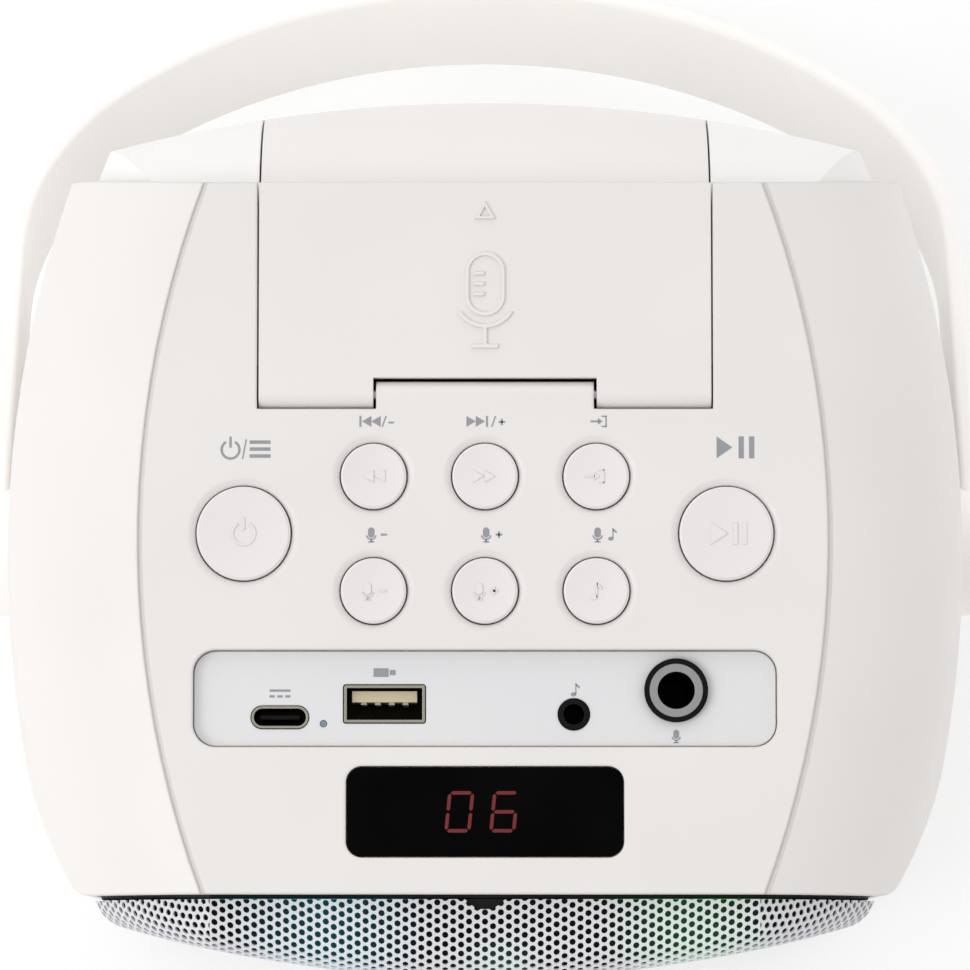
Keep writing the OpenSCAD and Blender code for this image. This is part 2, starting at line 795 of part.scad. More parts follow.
module grille() {
    color("#ececec") difference() {
        grille_form(0);
        grille_form(grille_t);
        translate([0, -grille_rim_y, body_h - 10]) linear_extrude(12)
            polygon([[-grille_notch_w / 2, 1], [-grille_notch_w / 2, 0],
                [-grille_notch_w / 5, -grille_notch_depth], [grille_notch_w / 5, -grille_notch_depth],
                [grille_notch_w / 2, 0], [grille_notch_w / 2, 1]]);
    }
}

// Ring that follows the grille's outline between two insets
module outline_ring(outer, width, y0, y1) {
    difference() {
        front_outline(outer, y0, y1);
        front_outline(outer + width, y0 - 1, y1 + 1);
    }
}

module grille_frame() {
    color("#1a1a1a") outline_ring(grille_inset + frame_step, frame_w, -frame_front_y, -frame_rear_y);
}

module front_baffle() {
    color("#202020") difference() {
        intersection() {
            barrel(wall + seat, -baffle_front_y, -baffle_rear_y);
            front_plan(wall + seat);
        }
        translate([0, 0, speaker_z]) bar_y(driver_r, -body_d, 0);
        for (a = [45 : 90 : 315])
            translate([screw_ring_r * cos(a), 0, speaker_z + screw_ring_r * sin(a)])
                bar_y(screw_r + 2 * run, -body_d, 0);
    }
}

module light_board() {
    color("#e8e8e8") outline_ring(light_outer, light_w, -light_board_y, -frame_rear_y);
}

module lights() {
    color("#f4fff8") for (p = light_places)
        box([p[0] - 2.5, -light_board_y - 0.02 - light_h, p[1] - 2.5],
            [p[0] + 2.5, -light_board_y - 0.02, p[1] + 2.5]);
}

module light_diffuser() {
    back = light_board_y + light_h + seat;
    color("#f6f8f8") outline_ring(light_outer, light_w, -back - diffuser_t, -back);
}

module speaker_place() {
    translate([0, 0, speaker_z]) rotate([90, 0, 0]) children();
}

// Ring about the loudspeaker's axis, heights measured forwards
module ring_at(outer, inner, low, high) {
    translate([0, 0, low]) difference() {
        cylinder(r = outer, h = high - low);
        translate([0, 0, -1]) cylinder(r = inner, h = high - low + 2);
    }
}

module speaker_basket() {
    back = magnet_front + seat;
    leg_h = flange_front - 1 - back;
    color("#2a2a2c") speaker_place() difference() {
        union() {
            ring_at(basket_r, driver_r, flange_front - 2, flange_front);
            ring_at(magnet_r, coil_r + 3, back, back + 2);
            for (a = [45 : 90 : 315]) rotate([0, 0, a]) intersection() {
                translate([coil_r + 4, -7, back]) cube([basket_r, 14, leg_h]);
                translate([0, 0, back]) difference() {
                    cylinder(r1 = magnet_r, r2 = driver_r + 3.5, h = leg_h);
                    translate([0, 0, -eps])
                        cylinder(r1 = magnet_r - 3, r2 = driver_r + 1.2, h = leg_h + 2 * eps);
                }
            }
            translate([magnet_r - 2, -4, back]) cube([9, 8, 1.5]);
        }
        for (a = [45 : 90 : 315]) rotate([0, 0, a]) translate([screw_ring_r, 0, 0])
            cylinder(r = screw_r + run, h = body_d, $fn = 32);
    }
}

module speaker_magnet() {
    color("#55565a") speaker_place() difference() {
        translate([0, 0, magnet_rear]) cylinder(r = magnet_r, h = magnet_t);
        ring_at(coil_r + 1, coil_r - 1.6, magnet_rear + 4, magnet_front + 1);
    }
}

module speaker_cone() {
    color("#303032") speaker_place() translate([0, 0, cone_rear]) difference() {
        cylinder(r1 = coil_r + 1.2, r2 = cone_r - gap_r, h = cone_front - cone_rear);
        translate([0, 0, -eps])
            cylinder(r1 = coil_r, r2 = cone_r - gap_r - 1.2, h = cone_front - cone_rear + 2 * eps);
    }
}

module speaker_surround() {
    mid_r = (cone_r + driver_r) / 2 - 0.2;
    roll_r = (driver_r - cone_r) / 2 - 0.3;
    color("#141414") speaker_place() translate([0, 0, cone_front - 0.8]) difference() {
        rotate_extrude() translate([mid_r, 0]) circle(roll_r, $fn = 48);
        rotate_extrude() translate([mid_r, 0]) circle(roll_r - 0.7, $fn = 48);
        translate([0, 0, -20]) cylinder(r = driver_r + 5, h = 20);
    }
    color("#141414") speaker_place()
        ring_at(driver_r - 0.2, mid_r + roll_r - 0.7, cone_front - 0.8, cone_front);
}

module speaker_dust_cap() {
    dome_r = 17;
    dome_low = sqrt(dome_r * dome_r - pow(coil_r + 0.8, 2));
    color("#202022") speaker_place() translate([0, 0, cone_rear + 1 - dome_low]) intersection() {
        difference() {
            sphere(dome_r);
            sphere(dome_r - 0.8);
        }
        translate([0, 0, dome_low]) cylinder(r = coil_r - 0.1, h = dome_r);
    }
}

module voice_coil() {
    color("#b87333") speaker_place() ring_at(coil_r - 0.1, coil_r - 0.8, magnet_front - 8, cone_rear + 0.8);
}

module speaker_spider() {
    color("#a8793a") speaker_place() {
        ring_at(magnet_r - 8, coil_r + gap_r, spider_y - 0.5, spider_y + 0.5);
        for (r = [coil_r + 4 : 3.5 : magnet_r - 10]) translate([0, 0, spider_y])
            rotate_extrude() translate([r, 0]) circle(1, $fn = 24);
        ring_at(magnet_r - 7, magnet_r - 9, magnet_front + 2 + 2 * seat, spider_y + 0.5);
    }
}

module speaker_screws() {
    color("silver") for (a = [45 : 90 : 315])
        translate([screw_ring_r * cos(a), 0, speaker_z + screw_ring_r * sin(a)]) {
            bar_y(screw_r, -baffle_front_y - eps, -flange_front + 6);
            bar_y(screw_head_r, -baffle_front_y - 1.2, -baffle_front_y);
        }
}

module control_board() {
    color("#1f6b3a") difference() {
        box([-control_half_w, control_y[0], board_top - board_t], [control_half_w, control_y[1], board_top]);
        for (x = [-control_post_x, control_post_x], y = control_post_y)
            translate([x, y, 0]) cylinder(r = screw_r + 2 * run, h = body_h, $fn = 32);
    }
}

module switches() {
    color("#3a3a3a") for (b = button_places) translate([b[0], b[1], board_top]) {
        translate([-switch_size / 2, -switch_size / 2, 0.02]) cube([switch_size, switch_size, switch_h]);
        cylinder(r = 1.75, h = switch_h + stem_h, $fn = 48);
    }
}

// Push button: dished cap, retaining flange and post
module button(place, tint) {
    r = place[2] - button_gap;
    dish_r = r * r / 0.9;
    top = body_h + button_proud;
    color(tint) translate([place[0], place[1], 0]) {
        difference() {
            union() {
                translate([0, 0, button_low]) cylinder(r = r, h = top - 0.4 - button_low);
                translate([0, 0, top - 0.4 - eps]) cylinder(r1 = r, r2 = r - 0.4, h = 0.4 + eps);
                translate([0, 0, button_low]) cylinder(r = place[2] + flange_w, h = flange_t);
            }
            translate([0, 0, top + dish_r - 0.45]) sphere(dish_r, $fn = 160);
        }
        translate([0, 0, post_low]) cylinder(r = 1.8, h = button_low - post_low + eps, $fn = 48);
    }
}

module power_button() { button(large_left, "#f1eff0"); }
module play_button() { button(large_right, "#ecebee"); }
module previous_button() { button(small_at(0, small_high_y), "#f0eeec"); }
module next_button() { button(small_at(1, small_high_y), "#f0eeec"); }
module source_button() { button(small_at(2, small_high_y), "#f0eeec"); }
module mic_down_button() { button(small_at(0, small_low_y), "#f0eeec"); }
module mic_up_button() { button(small_at(1, small_low_y), "#f0eeec"); }
module vocal_button() { button(small_at(2, small_low_y), "#f0eeec"); }

module display_window() {
    color("#0a0a0c") translate([0, -display_y, body_h - window_sink - window_t + 0.02])
        rounded_plate(display_w - 2 * display_gap, display_h - 2 * display_gap,
            display_r - display_gap, window_t - 0.02);
}

module display_module() {
    w = display_w - 2 * window_ledge - 1;
    h = display_h - 2 * window_ledge - 1;
    color("#301014") {
        translate([-w / 2, -display_y - h / 2, panel_low - 6.5]) cube([w, h, 6.5]);
        translate([-display_w / 2, -display_y - h / 2, panel_low - 8]) cube([display_w, h, 1.6]);
    }
}

module port_plate() {
    bottom = plate_low;
    color("#e4e5e8") difference() {
        union() {
            translate([0, -recess_y, bottom])
                rounded_plate(recess_w + 2 * plate_margin, recess_h + 2 * plate_margin, recess_r, 1.6);
            translate([0, -recess_y, bottom])
                rounded_plate(recess_w - 0.4, recess_h - 0.4, recess_r - 0.2, recess_floor - bottom);
            for (x = port_post_x, y = port_post_y) translate([x, -y, port_board_top + seat])
                cylinder(r = 2.6, h = bottom - port_board_top, $fn = 48);
        }
        translate([-usb_c_x, -usb_c_y, bottom - 1]) rounded_plate(10.1, 4.1, 2, 10);
        translate([-usb_x, -usb_y, bottom - 1]) rounded_plate(14.3, 6.8, 0.5, 10);
        translate([-lens_x, -lens_y, bottom - 1]) cylinder(r = 0.6, h = 10, $fn = 32);
        translate([aux_x, -aux_y, bottom - 1]) cylinder(r = 2.8, h = 10);
        translate([mic_x, -mic_y, bottom - 1]) cylinder(r = 4.75, h = 10);
        for (x = port_post_x, y = port_post_y) translate([x, -y, port_board_top])
            cylinder(r = screw_r + run, h = 9, $fn = 32);
    }
}

module port_board() {
    color("#1f6b3a") difference() {
        box([port_post_x[0] - 4, -recess_y - 10, port_board_top - board_t],
            [port_post_x[1] + 3.4, -recess_y + 10, port_board_top]);
        for (x = port_post_x, y = port_post_y) translate([x, -y, 0])
            cylinder(r = screw_r + 2 * run, h = body_h, $fn = 32);
    }
}

module usb_c_shell() {
    color("#c9c9c9") translate([-usb_c_x, -usb_c_y, port_board_top + 0.05]) difference() {
        rounded_plate(9.8, 3.8, 1.88, recess_floor + 0.15 - port_board_top);
        translate([0, 0, 4]) rounded_plate(9, 3, 1.48, body_h);
    }
}

module usb_c_tongue() {
    color("#17181a") translate([-usb_c_x, -usb_c_y, port_board_top + 4.1])
        translate([-3.4, -0.35, 0]) cube([6.8, 0.7, recess_floor - port_board_top - 5]);
}

module usb_shell() {
    color("#cfcfcf") translate([-usb_x, -usb_y, port_board_top + 0.05]) difference() {
        rounded_plate(13.9, 6.4, 0.3, recess_floor + 0.1 - port_board_top);
        translate([0, 0, 3]) rounded_plate(13, 5.5, 0.15, body_h);
    }
}

module usb_tongue() {
    top = recess_floor - port_board_top - 1.4;
    color("#d8c58a") translate([-usb_x, -usb_y, port_board_top + 3.15]) {
        translate([-5.6, 0.35, 0]) cube([11.2, 1.9, top - 3]);
        for (i = [-1.5 : 1 : 1.5]) translate([2.4 * i - 0.5, -0.05, 2]) cube([1, 0.42, top - 6]);
    }
}

module aux_jack() {
    color("#121213") translate([aux_x, -aux_y, port_board_top + 0.05]) difference() {
        union() {
            translate([-3.4, -3.4, 0]) cube([6.8, 6.8, plate_low - port_board_top - seat]);
            cylinder(r = 2.64, h = recess_floor + 0.2 - port_board_top);
        }
        translate([0, 0, 1]) cylinder(r = aux_bore_r, h = body_h);
    }
}

module mic_jack() {
    color("#161617") translate([mic_x, -mic_y, mic_body_low]) difference() {
        translate([-7.5, -7.5, 0]) cube([15, 15, plate_low - seat - mic_body_low]);
        translate([0, 0, 1.5]) cylinder(r = mic_bore_r, h = body_h);
    }
}

module mic_jack_sleeve() {
    low = plate_low - seat + 0.05;
    color("#c8c8cc") translate([mic_x, -mic_y, low]) difference() {
        cylinder(r = mic_thread_r, h = recess_floor + 0.8 - low);
        translate([0, 0, -1]) cylinder(r = mic_bore_r, h = body_h);
    }
}

module mic_jack_nut() {
    color("#161617") translate([mic_x, -mic_y, recess_floor + 0.05]) difference() {
        cylinder(r = 5.5, h = 1.15);
        translate([0, 0, -1]) cylinder(r = mic_thread_r + run, h = 4);
    }
}

module status_lens() {
    color("#8f98a8") translate([-lens_x, -lens_y, port_board_top + 0.05])
        cylinder(r = 0.5, h = recess_floor + 0.1 - port_board_top, $fn = 32);
}

module main_board() {
    color("#1d5f36") difference() {
        box([-main_board_half_w, main_board_y - board_t / 2, main_board_z[0]],
            [main_board_half_w, main_board_y + board_t / 2, main_board_z[1]]);
        for (x = [-board_post_x, board_post_x], z = board_post_z) translate([x, 0, z])
            bar_y(screw_r + 2 * run, 0, body_d);
    }
}

module heat_sink() {
    low_y = main_board_y + board_t / 2 + 0.05;
    fin_d = well_front_y - 2 - low_y;
    color("#9a9ca0") {
        box([-20, low_y, 70], [20, low_y + 2, 104]);
        for (i = [0 : 7]) box([-19.6 + i * 5.4, low_y + 1.95, 70], [-18.2 + i * 5.4, low_y + fin_d, 104]);
    }
}

module capacitors() {
    front = main_board_y - board_t / 2 - 0.05;
    color("#26282e") for (p = [[-44, 108, 5], [-30, 108, 5], [34, 62, 4], [44, 90, 4]])
        translate([p[0], 0, p[1]]) bar_y(p[2], front - 11, front);
}

module battery_cells() {
    color("#4a7fb0") for (y = cell_y) translate([0, y, cell_z]) bar_x(cell_r, -cell_len / 2, cell_len / 2);
}

module battery_cradle() {
    y0 = cell_y[0] - cell_r - seat - cradle_wall;
    y1 = cell_y[1] + cell_r + seat + cradle_wall;
    color("#2b2c30") difference() {
        union() {
            box([-cradle_half, y0, cradle_z], [cradle_half, y1, cell_z + 3]);
            box([-cradle_half - cradle_ear, y0 + 10, cradle_z],
                [cradle_half + cradle_ear, y1 - 10, cradle_z + cradle_ear_t]);
        }
        for (y = cell_y) translate([0, y, cell_z]) {
            bar_x(cell_r + seat, -cell_len / 2 - seat, cell_len / 2 + seat);
            box([-cell_len / 2 - seat, -cell_r - seat, 0], [cell_len / 2 + seat, cell_r + seat, 20]);
        }
        for (s = [-1, 1]) translate([s * cradle_screw_x, cradle_screw_y, 0])
            cylinder(r = screw_r + 2 * run, h = body_h, $fn = 32);
    }
}

module feet() {
    color("#1b1b1c") for (x = [-foot_x, foot_x], y = [-foot_y, foot_y]) foot_place(x, y) {
        cylinder(r1 = foot_r - 0.8, r2 = foot_r, h = 1);
        translate([0, 0, 1 - eps]) cylinder(r = foot_r, h = foot_h - 1);
        cylinder(r = foot_r / 3, h = floor_z, $fn = 48);
    }
}

module cover_screws() {
    color("silver") for (x = [-cover_screw_x, cover_screw_x], z = cover_screw_zs) translate([x, 0, z]) {
        bar_y(cover_screw_r, half_d - skirt_d - 12, cover_head_y + 0.1);
        bar_y(cover_head_r, cover_head_y + 0.05, cover_head_y + 2);
    }
}

// Small screw standing on its head, thread upwards
module small_screw(len) {
    cylinder(r = screw_head_r, h = screw_head_t, $fn = 32);
    cylinder(r = screw_r, h = screw_head_t + len, $fn = 32);
}

module board_screws() {
    control_low = board_top - board_t - screw_head_t - run;
    port_low = port_board_top - board_t - screw_head_t - run;
    board_front = main_board_y - board_t / 2 - screw_head_t - run;
    color("silver") {
        for (x = [-control_post_x, control_post_x], y = control_post_y)
            translate([x, y, control_low]) small_screw(6);
        for (x = port_post_x, y = port_post_y) translate([x, -y, port_low]) small_screw(8);
        for (x = [-board_post_x, board_post_x], z = board_post_z)
            translate([x, board_front, z]) rotate([-90, 0, 0]) small_screw(8);
        for (s = [-1, 1])
            translate([s * cradle_screw_x, cradle_screw_y, cradle_z + cradle_ear_t + screw_head_t + run])
                mirror([0, 0, 1]) small_screw(4.4);
    }
}

module speaker_wires() {
    color("#b02020") tube(speaker_route, speaker_wire_r);
    color("#202020") tube([for (p = speaker_route) p + [0, 0, 3]], speaker_wire_r);
}

module battery_wires() {
    color("#c03030") tube(battery_route, battery_wire_r);
}

// Flat cable from the control board down to the main board
module ribbon_cable() {
    half = 9;
    y1 = main_board_y - board_t / 2 - 0.1;
    color("#d0d0c8") {
        box([-half, y1 - 5, main_board_z[1] - 8], [half, y1, main_board_z[1] - 4]);
        box([-half, y1 - 3, main_board_z[1] - 5], [half, y1 - 2.4, board_top - board_t - 0.2]);
    }
}

housing();
rear_cover();
door();
hinge_pin();
compartment_liner();
handle();
pivot_bolts();
pivot_nuts();
pivot_caps();
grille();
grille_frame();
front_baffle();
light_board();
lights();
light_diffuser();
speaker_basket();
speaker_magnet();
speaker_cone();
speaker_surround();
speaker_dust_cap();
voice_coil();
speaker_spider();
speaker_screws();
control_board();
switches();
power_button();
play_button();
previous_button();
next_button();
source_button();
mic_down_button();
mic_up_button();
vocal_button();
display_window();
display_module();
port_plate();
port_board();
usb_c_shell();
usb_c_tongue();
usb_shell();
usb_tongue();
aux_jack();
mic_jack();
mic_jack_sleeve();
mic_jack_nut();
status_lens();
main_board();
heat_sink();
capacitors();
battery_cells();
battery_cradle();
feet();
cover_screws();
board_screws();
speaker_wires();
battery_wires();
ribbon_cable();
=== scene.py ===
"""Looks of a barrel-shaped karaoke machine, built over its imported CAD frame."""

import logging
import math
from dataclasses import dataclass, replace
from enum import Enum
from typing import Any, Iterable, Optional, Sequence

import bmesh
import bpy
import numpy as np
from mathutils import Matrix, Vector

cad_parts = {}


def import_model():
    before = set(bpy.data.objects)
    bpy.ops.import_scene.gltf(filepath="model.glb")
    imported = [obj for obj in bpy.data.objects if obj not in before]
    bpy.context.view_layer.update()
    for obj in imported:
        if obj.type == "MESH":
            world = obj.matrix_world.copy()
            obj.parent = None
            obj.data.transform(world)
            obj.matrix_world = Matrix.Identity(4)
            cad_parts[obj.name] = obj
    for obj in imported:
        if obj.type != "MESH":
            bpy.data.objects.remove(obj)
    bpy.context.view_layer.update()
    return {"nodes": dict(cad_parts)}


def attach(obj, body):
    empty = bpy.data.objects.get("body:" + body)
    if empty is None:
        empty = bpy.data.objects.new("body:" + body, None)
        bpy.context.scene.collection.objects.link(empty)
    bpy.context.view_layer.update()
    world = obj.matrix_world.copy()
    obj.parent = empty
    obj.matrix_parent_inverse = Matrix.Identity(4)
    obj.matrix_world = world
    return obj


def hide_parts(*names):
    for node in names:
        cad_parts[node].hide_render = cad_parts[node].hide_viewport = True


LOG = logging.getLogger("karaoke_machine")

# Metres in a millimetre: sizes below are in millimetres
MM = 0.001
# Height of the mouths of the sockets in the port plate
SOCKET_MOUTH_Z = 168.2
# Half length of the strip that the lights shine into, and their height behind the grille
STRIP_HALF = 70.0
LIGHTS_Z = 164.0
# Band of a noise's values that is spread over a range
NOISE_BAND = (0.3, 0.7)
# Widths of the patches of a moulded surface's shade, gloss and tool grain
SHADE_MM = 35.0
GLOSS_MM = 9.0
GRAIN_MM = 0.45

Point = tuple[float, float, float]
Point2 = tuple[float, float]


class Body(Enum):
    """Bodies of the frame that pieces ride on."""

    ROOT = "body"
    HANDLE = "handle"


class Grain(Enum):
    """How a moulded surface was finished in its tool."""

    SATIN = 0.5
    SPARKED = 1.0


def linear(hex_code: str) -> tuple[float, float, float, float]:
    """Turn an sRGB hex colour into linear RGBA.

    Args:
        hex_code: six hex digits, such as "F1EFEB".

    Returns:
        Linear red, green, blue and an alpha of one.
    """
    values = []
    for start in (0, 2, 4):
        channel = int(hex_code[start:start + 2], 16) / 255
        low = channel <= 0.04045
        values.append(channel / 12.92 if low else ((channel + 0.055) / 1.055) ** 2.4)
    return (values[0], values[1], values[2], 1.0)


def add_node(
    tree: bpy.types.NodeTree,
    kind: str,
    settings: Optional[dict[str, Any]] = None,
    links: Optional[dict[Any, bpy.types.NodeSocket]] = None,
    **attributes: Any,
) -> bpy.types.Node:
    """Add a shader node with its settings and incoming links.

    Args:
        tree: node tree to add to.
        kind: node type, such as "ShaderNodeTexNoise".
        settings: default values by input name or index.
        links: output sockets by input name or index.
        attributes: plain attributes of the node, such as operation.

    Returns:
        The new node.
    """
    node = tree.nodes.new(kind)
    for name, value in attributes.items():
        setattr(node, name, value)
    for key, value in (settings or {}).items():
        node.inputs[key].default_value = value
    for key, socket in (links or {}).items():
        tree.links.new(socket, node.inputs[key])
    return node


def new_material(name: str) -> tuple[bpy.types.Material, bpy.types.NodeTree, bpy.types.Node]:
    """Make a material with an empty tree, a surface shader and its output.

    Args:
        name: name of the material.

    Returns:
        The material, its tree and its Principled shader.
    """
    material = bpy.data.materials.new(name)
    material.use_nodes = True
    tree = material.node_tree
    tree.nodes.clear()
    shader = add_node(tree, "ShaderNodeBsdfPrincipled")
    add_node(tree, "ShaderNodeOutputMaterial", links={"Surface": shader.outputs[0]})
    return material, tree, shader


def noise(tree: bpy.types.NodeTree, size_mm: float, detail: float = 3.0) -> bpy.types.NodeSocket:
    """Noise of a given grain size on object coordinates.

    Args:
        tree: node tree to add to.
        size_mm: width of one patch of the noise.
        detail: octaves.

    Returns:
        The noise's value socket.
    """
    place = add_node(tree, "ShaderNodeTexCoord")
    pattern = add_node(tree, "ShaderNodeTexNoise", {"Scale": 1 / (size_mm * MM), "Detail": detail},
                       {"Vector": place.outputs["Object"]})
    return pattern.outputs[0]


def object_place(tree: bpy.types.NodeTree, axis: int) -> bpy.types.NodeSocket:
    """Coordinate of the shaded point on its object.

    Args:
        tree: node tree to add to.
        axis: 0, 1 or 2 for x, y or z.

    Returns:
        The coordinate's socket, in metres.
    """
    place = add_node(tree, "ShaderNodeTexCoord")
    split = add_node(tree, "ShaderNodeSeparateXYZ", links={0: place.outputs["Object"]})
    return split.outputs[axis]


def ramp(
    tree: bpy.types.NodeTree,
    socket: bpy.types.NodeSocket,
    low: float,
    high: float,
) -> bpy.types.NodeSocket:
    """Spread a noise value over a range.

    Args:
        tree: node tree to add to.
        socket: value to spread.
        low: result at 0.3.
        high: result at 0.7.

    Returns:
        The spread value's socket.
    """
    node = add_node(tree, "ShaderNodeMapRange",
                    {"From Min": NOISE_BAND[0], "From Max": NOISE_BAND[1],
                     "To Min": low, "To Max": high},
                    {"Value": socket})
    return node.outputs[0]


def mottled(
    tree: bpy.types.NodeTree,
    colour: str,
    shade: str,
    socket: bpy.types.NodeSocket,
    high: float = 1.0,
) -> bpy.types.NodeSocket:
    """Blend two colours by a noise value.

    Args:
        tree: node tree to add to.
        colour: hex colour at the low end.
        shade: hex colour at the high end.
        socket: noise value to blend by.
        high: share of the second colour at the high end.

    Returns:
        The blend's colour socket.
    """
    mix = add_node(tree, "ShaderNodeMix", {6: linear(colour), 7: linear(shade)},
                   {0: ramp(tree, socket, 0.0, high)}, data_type="RGBA")
    return mix.outputs[2]


def rounded(tree: bpy.types.NodeTree, radius_mm: float, samples: int = 4) -> bpy.types.NodeSocket:
    """Normal of an edge with a small radius."""
    edge = add_node(tree, "ShaderNodeBevel", {"Radius": radius_mm * MM}, samples=samples)
    return edge.outputs[0]


@dataclass(frozen=True)
class MouldedPlastic:
    """Injection-moulded ABS: even colour, faint flow shading, a fine tool grain and, where set, a
    painted glow of its own colour.
    """

    name: str
    colour: str
    shade: str
    roughness: float = 0.4
    grain: Grain = Grain.SATIN
    edge_mm: float = 0.0
    painted_glow: float = 0.0
    shine: float = 0.5

    def build(self) -> bpy.types.Material:
        """Build the material."""
        material, tree, shader = new_material(self.name)
        colour = mottled(tree, self.colour, self.shade, noise(tree, SHADE_MM, 2.0))
        tree.links.new(colour, shader.inputs["Base Color"])
        rough = ramp(tree, noise(tree, GLOSS_MM), self.roughness - 0.03, self.roughness + 0.03)
        tree.links.new(rough, shader.inputs["Roughness"])
        shader.inputs["IOR"].default_value = 1.52
        shader.inputs["Specular IOR Level"].default_value = self.shine
        # Painted light: the surface emits a share of its own colour, which lifts its shaded sides
        tree.links.new(colour, shader.inputs["Emission Color"])
        shader.inputs["Emission Strength"].default_value = self.painted_glow
        bump = add_node(tree, "ShaderNodeBump",
                        {"Strength": 0.06 + 0.12 * self.grain.value, "Distance": 0.02 * MM},
                        {"Height": noise(tree, GRAIN_MM, 2.0)})
        if self.edge_mm:
            # A moulded edge is never sharp: its small radius catches a line of light
            tree.links.new(rounded(tree, self.edge_mm, 6), bump.inputs["Normal"])
        tree.links.new(bump.outputs[0], shader.inputs["Normal"])
        return material


@dataclass(frozen=True)
class Metal:
    """Bare or plated metal with a fine grain from its making."""

    name: str
    colour: str
    roughness: float = 0.3
    edge_mm: float = 0.1
    mouth_z: float = 0.0

    def build(self) -> bpy.types.Material:
        """Build the material."""
        material, tree, shader = new_material(self.name)
        shader.inputs["Base Color"].default_value = linear(self.colour)
        if self.mouth_z:
            # Painted shade: below the mouth the walls' colour darkens, as little light reaches down
            # into a socket
            depth = add_node(tree, "ShaderNodeMapRange",
                             {"From Min": (self.mouth_z - 0.6) * MM,
                              "From Max": (self.mouth_z - 0.05) * MM},
                             {"Value": object_place(tree, 2)})
            mix = add_node(tree, "ShaderNodeMix", {6: linear("17150F"), 7: linear(self.colour)},
                           {0: depth.outputs[0]}, data_type="RGBA")
            tree.links.new(mix.outputs[2], shader.inputs["Base Color"])
        shader.inputs["Metallic"].default_value = 1.0
        rough = ramp(tree, noise(tree, 2.0), self.roughness - 0.06, self.roughness + 0.06)
        tree.links.new(rough, shader.inputs["Roughness"])
        bump = add_node(tree, "ShaderNodeBump", {"Strength": 0.08, "Distance": 0.01 * MM},
                        {"Height": noise(tree, 0.3), "Normal": rounded(tree, self.edge_mm)})
        tree.links.new(bump.outputs[0], shader.inputs["Normal"])
        return material


@dataclass(frozen=True)
class PlainPart:
    """Hidden or small part: board, rubber, paper or cloth with a coarse or fine mottle."""

    name: str
    colour: str
    shade: str
    roughness: float = 0.7
    mottle_mm: float = 2.0

    def build(self) -> bpy.types.Material:
        """Build the material."""
        material, tree, shader = new_material(self.name)
        colour = mottled(tree, self.colour, self.shade, noise(tree, self.mottle_mm))
        tree.links.new(colour, shader.inputs["Base Color"])
        shader.inputs["Roughness"].default_value = self.roughness
        bump = add_node(tree, "ShaderNodeBump", {"Strength": 0.2, "Distance": 0.03 * MM},
                        {"Height": noise(tree, self.mottle_mm / 4)})
        tree.links.new(bump.outputs[0], shader.inputs["Normal"])
        return material


@dataclass(frozen=True)
class Lit:
    """Glowing part, such as a light behind a milky cover or the segments of a display."""

    name: str
    colour: str
    strength: float
    body: str = "202020"

    def build(self) -> bpy.types.Material:
        """Build the material."""
        material, tree, shader = new_material(self.name)
        shader.inputs["Base Color"].default_value = linear(self.body)
        glow = mottled(tree, self.colour, self.body, noise(tree, 3.0), 0.15)
        tree.links.new(glow, shader.inputs["Emission Color"])
        shader.inputs["Emission Strength"].default_value = self.strength
        shader.inputs["Roughness"].default_value = 0.4
        return material


@dataclass(frozen=True)
class Diffuser:
    """Milky strip that several coloured lights shine into, each tinting its own stretch."""

    name: str
    stops: tuple[tuple[float, str], ...]
    strength: float

    def build(self) -> bpy.types.Material:
        """Build the material."""
        material, tree, shader = new_material(self.name)
        shader.inputs["Base Color"].default_value = linear("C9CFCE")
        across = add_node(tree, "ShaderNodeMapRange",
                          {"From Min": -STRIP_HALF * MM, "From Max": STRIP_HALF * MM},
                          {"Value": object_place(tree, 0)})
        tint = add_node(tree, "ShaderNodeValToRGB", links={0: across.outputs[0]})
        elements = tint.color_ramp.elements
        while len(elements) < len(self.stops):
            elements.new(0.5)
        for element, (position, colour) in zip(elements, self.stops):
            element.position = position
            element.color = linear(colour)
        tree.links.new(tint.outputs[0], shader.inputs["Emission Color"])
        shader.inputs["Emission Strength"].default_value = self.strength
        shader.inputs["Roughness"].default_value = 0.5
        return material


@dataclass(frozen=True)
class PaintedGlowCloth:
    """Cloth or coated sheet with painted pools of light where coloured lights shine on it: place
    across, colour, width.
    """

    name: str
    colour: str
    shade: str
    roughness: float
    spots: tuple[tuple[float, float, str, float], ...]
    strength: float

    def build(self) -> bpy.types.Material:
        """Build the material."""
        material, tree, shader = new_material(self.name)
        colour = mottled(tree, self.colour, self.shade, noise(tree, 0.4))
        tree.links.new(colour, shader.inputs["Base Color"])
        shader.inputs["Roughness"].default_value = self.roughness
        place = add_node(tree, "ShaderNodeTexCoord")
        glow = None
        for across, out, tone, wide in self.spots:
            offset = add_node(tree, "ShaderNodeVectorMath",
                              {1: (across * MM, out * MM, LIGHTS_Z * MM)},
                              {0: place.outputs["Object"]}, operation="DISTANCE")
            fade = add_node(tree, "ShaderNodeMapRange",
                            {"From Min": 0.0, "From Max": wide * MM, "To Min": 1.0, "To Max": 0.0},
                            {"Value": offset.outputs["Value"]}, interpolation_type="SMOOTHSTEP")
            tint = add_node(tree, "ShaderNodeMix", {6: (0, 0, 0, 1), 7: linear(tone)},
                            {0: fade.outputs[0]}, data_type="RGBA")
            if glow is None:
                glow = tint
            else:
                glow = add_node(tree, "ShaderNodeMix", {0: 1.0},
                                {6: glow.outputs[2], 7: tint.outputs[2]},
                                data_type="RGBA", blend_type="ADD")
        # Painted light: the spots' colours are emitted, as if the lights behind shone on this surface
        tree.links.new(glow.outputs[2], shader.inputs["Emission Color"])
        shader.inputs["Emission Strength"].default_value = self.strength
        return material


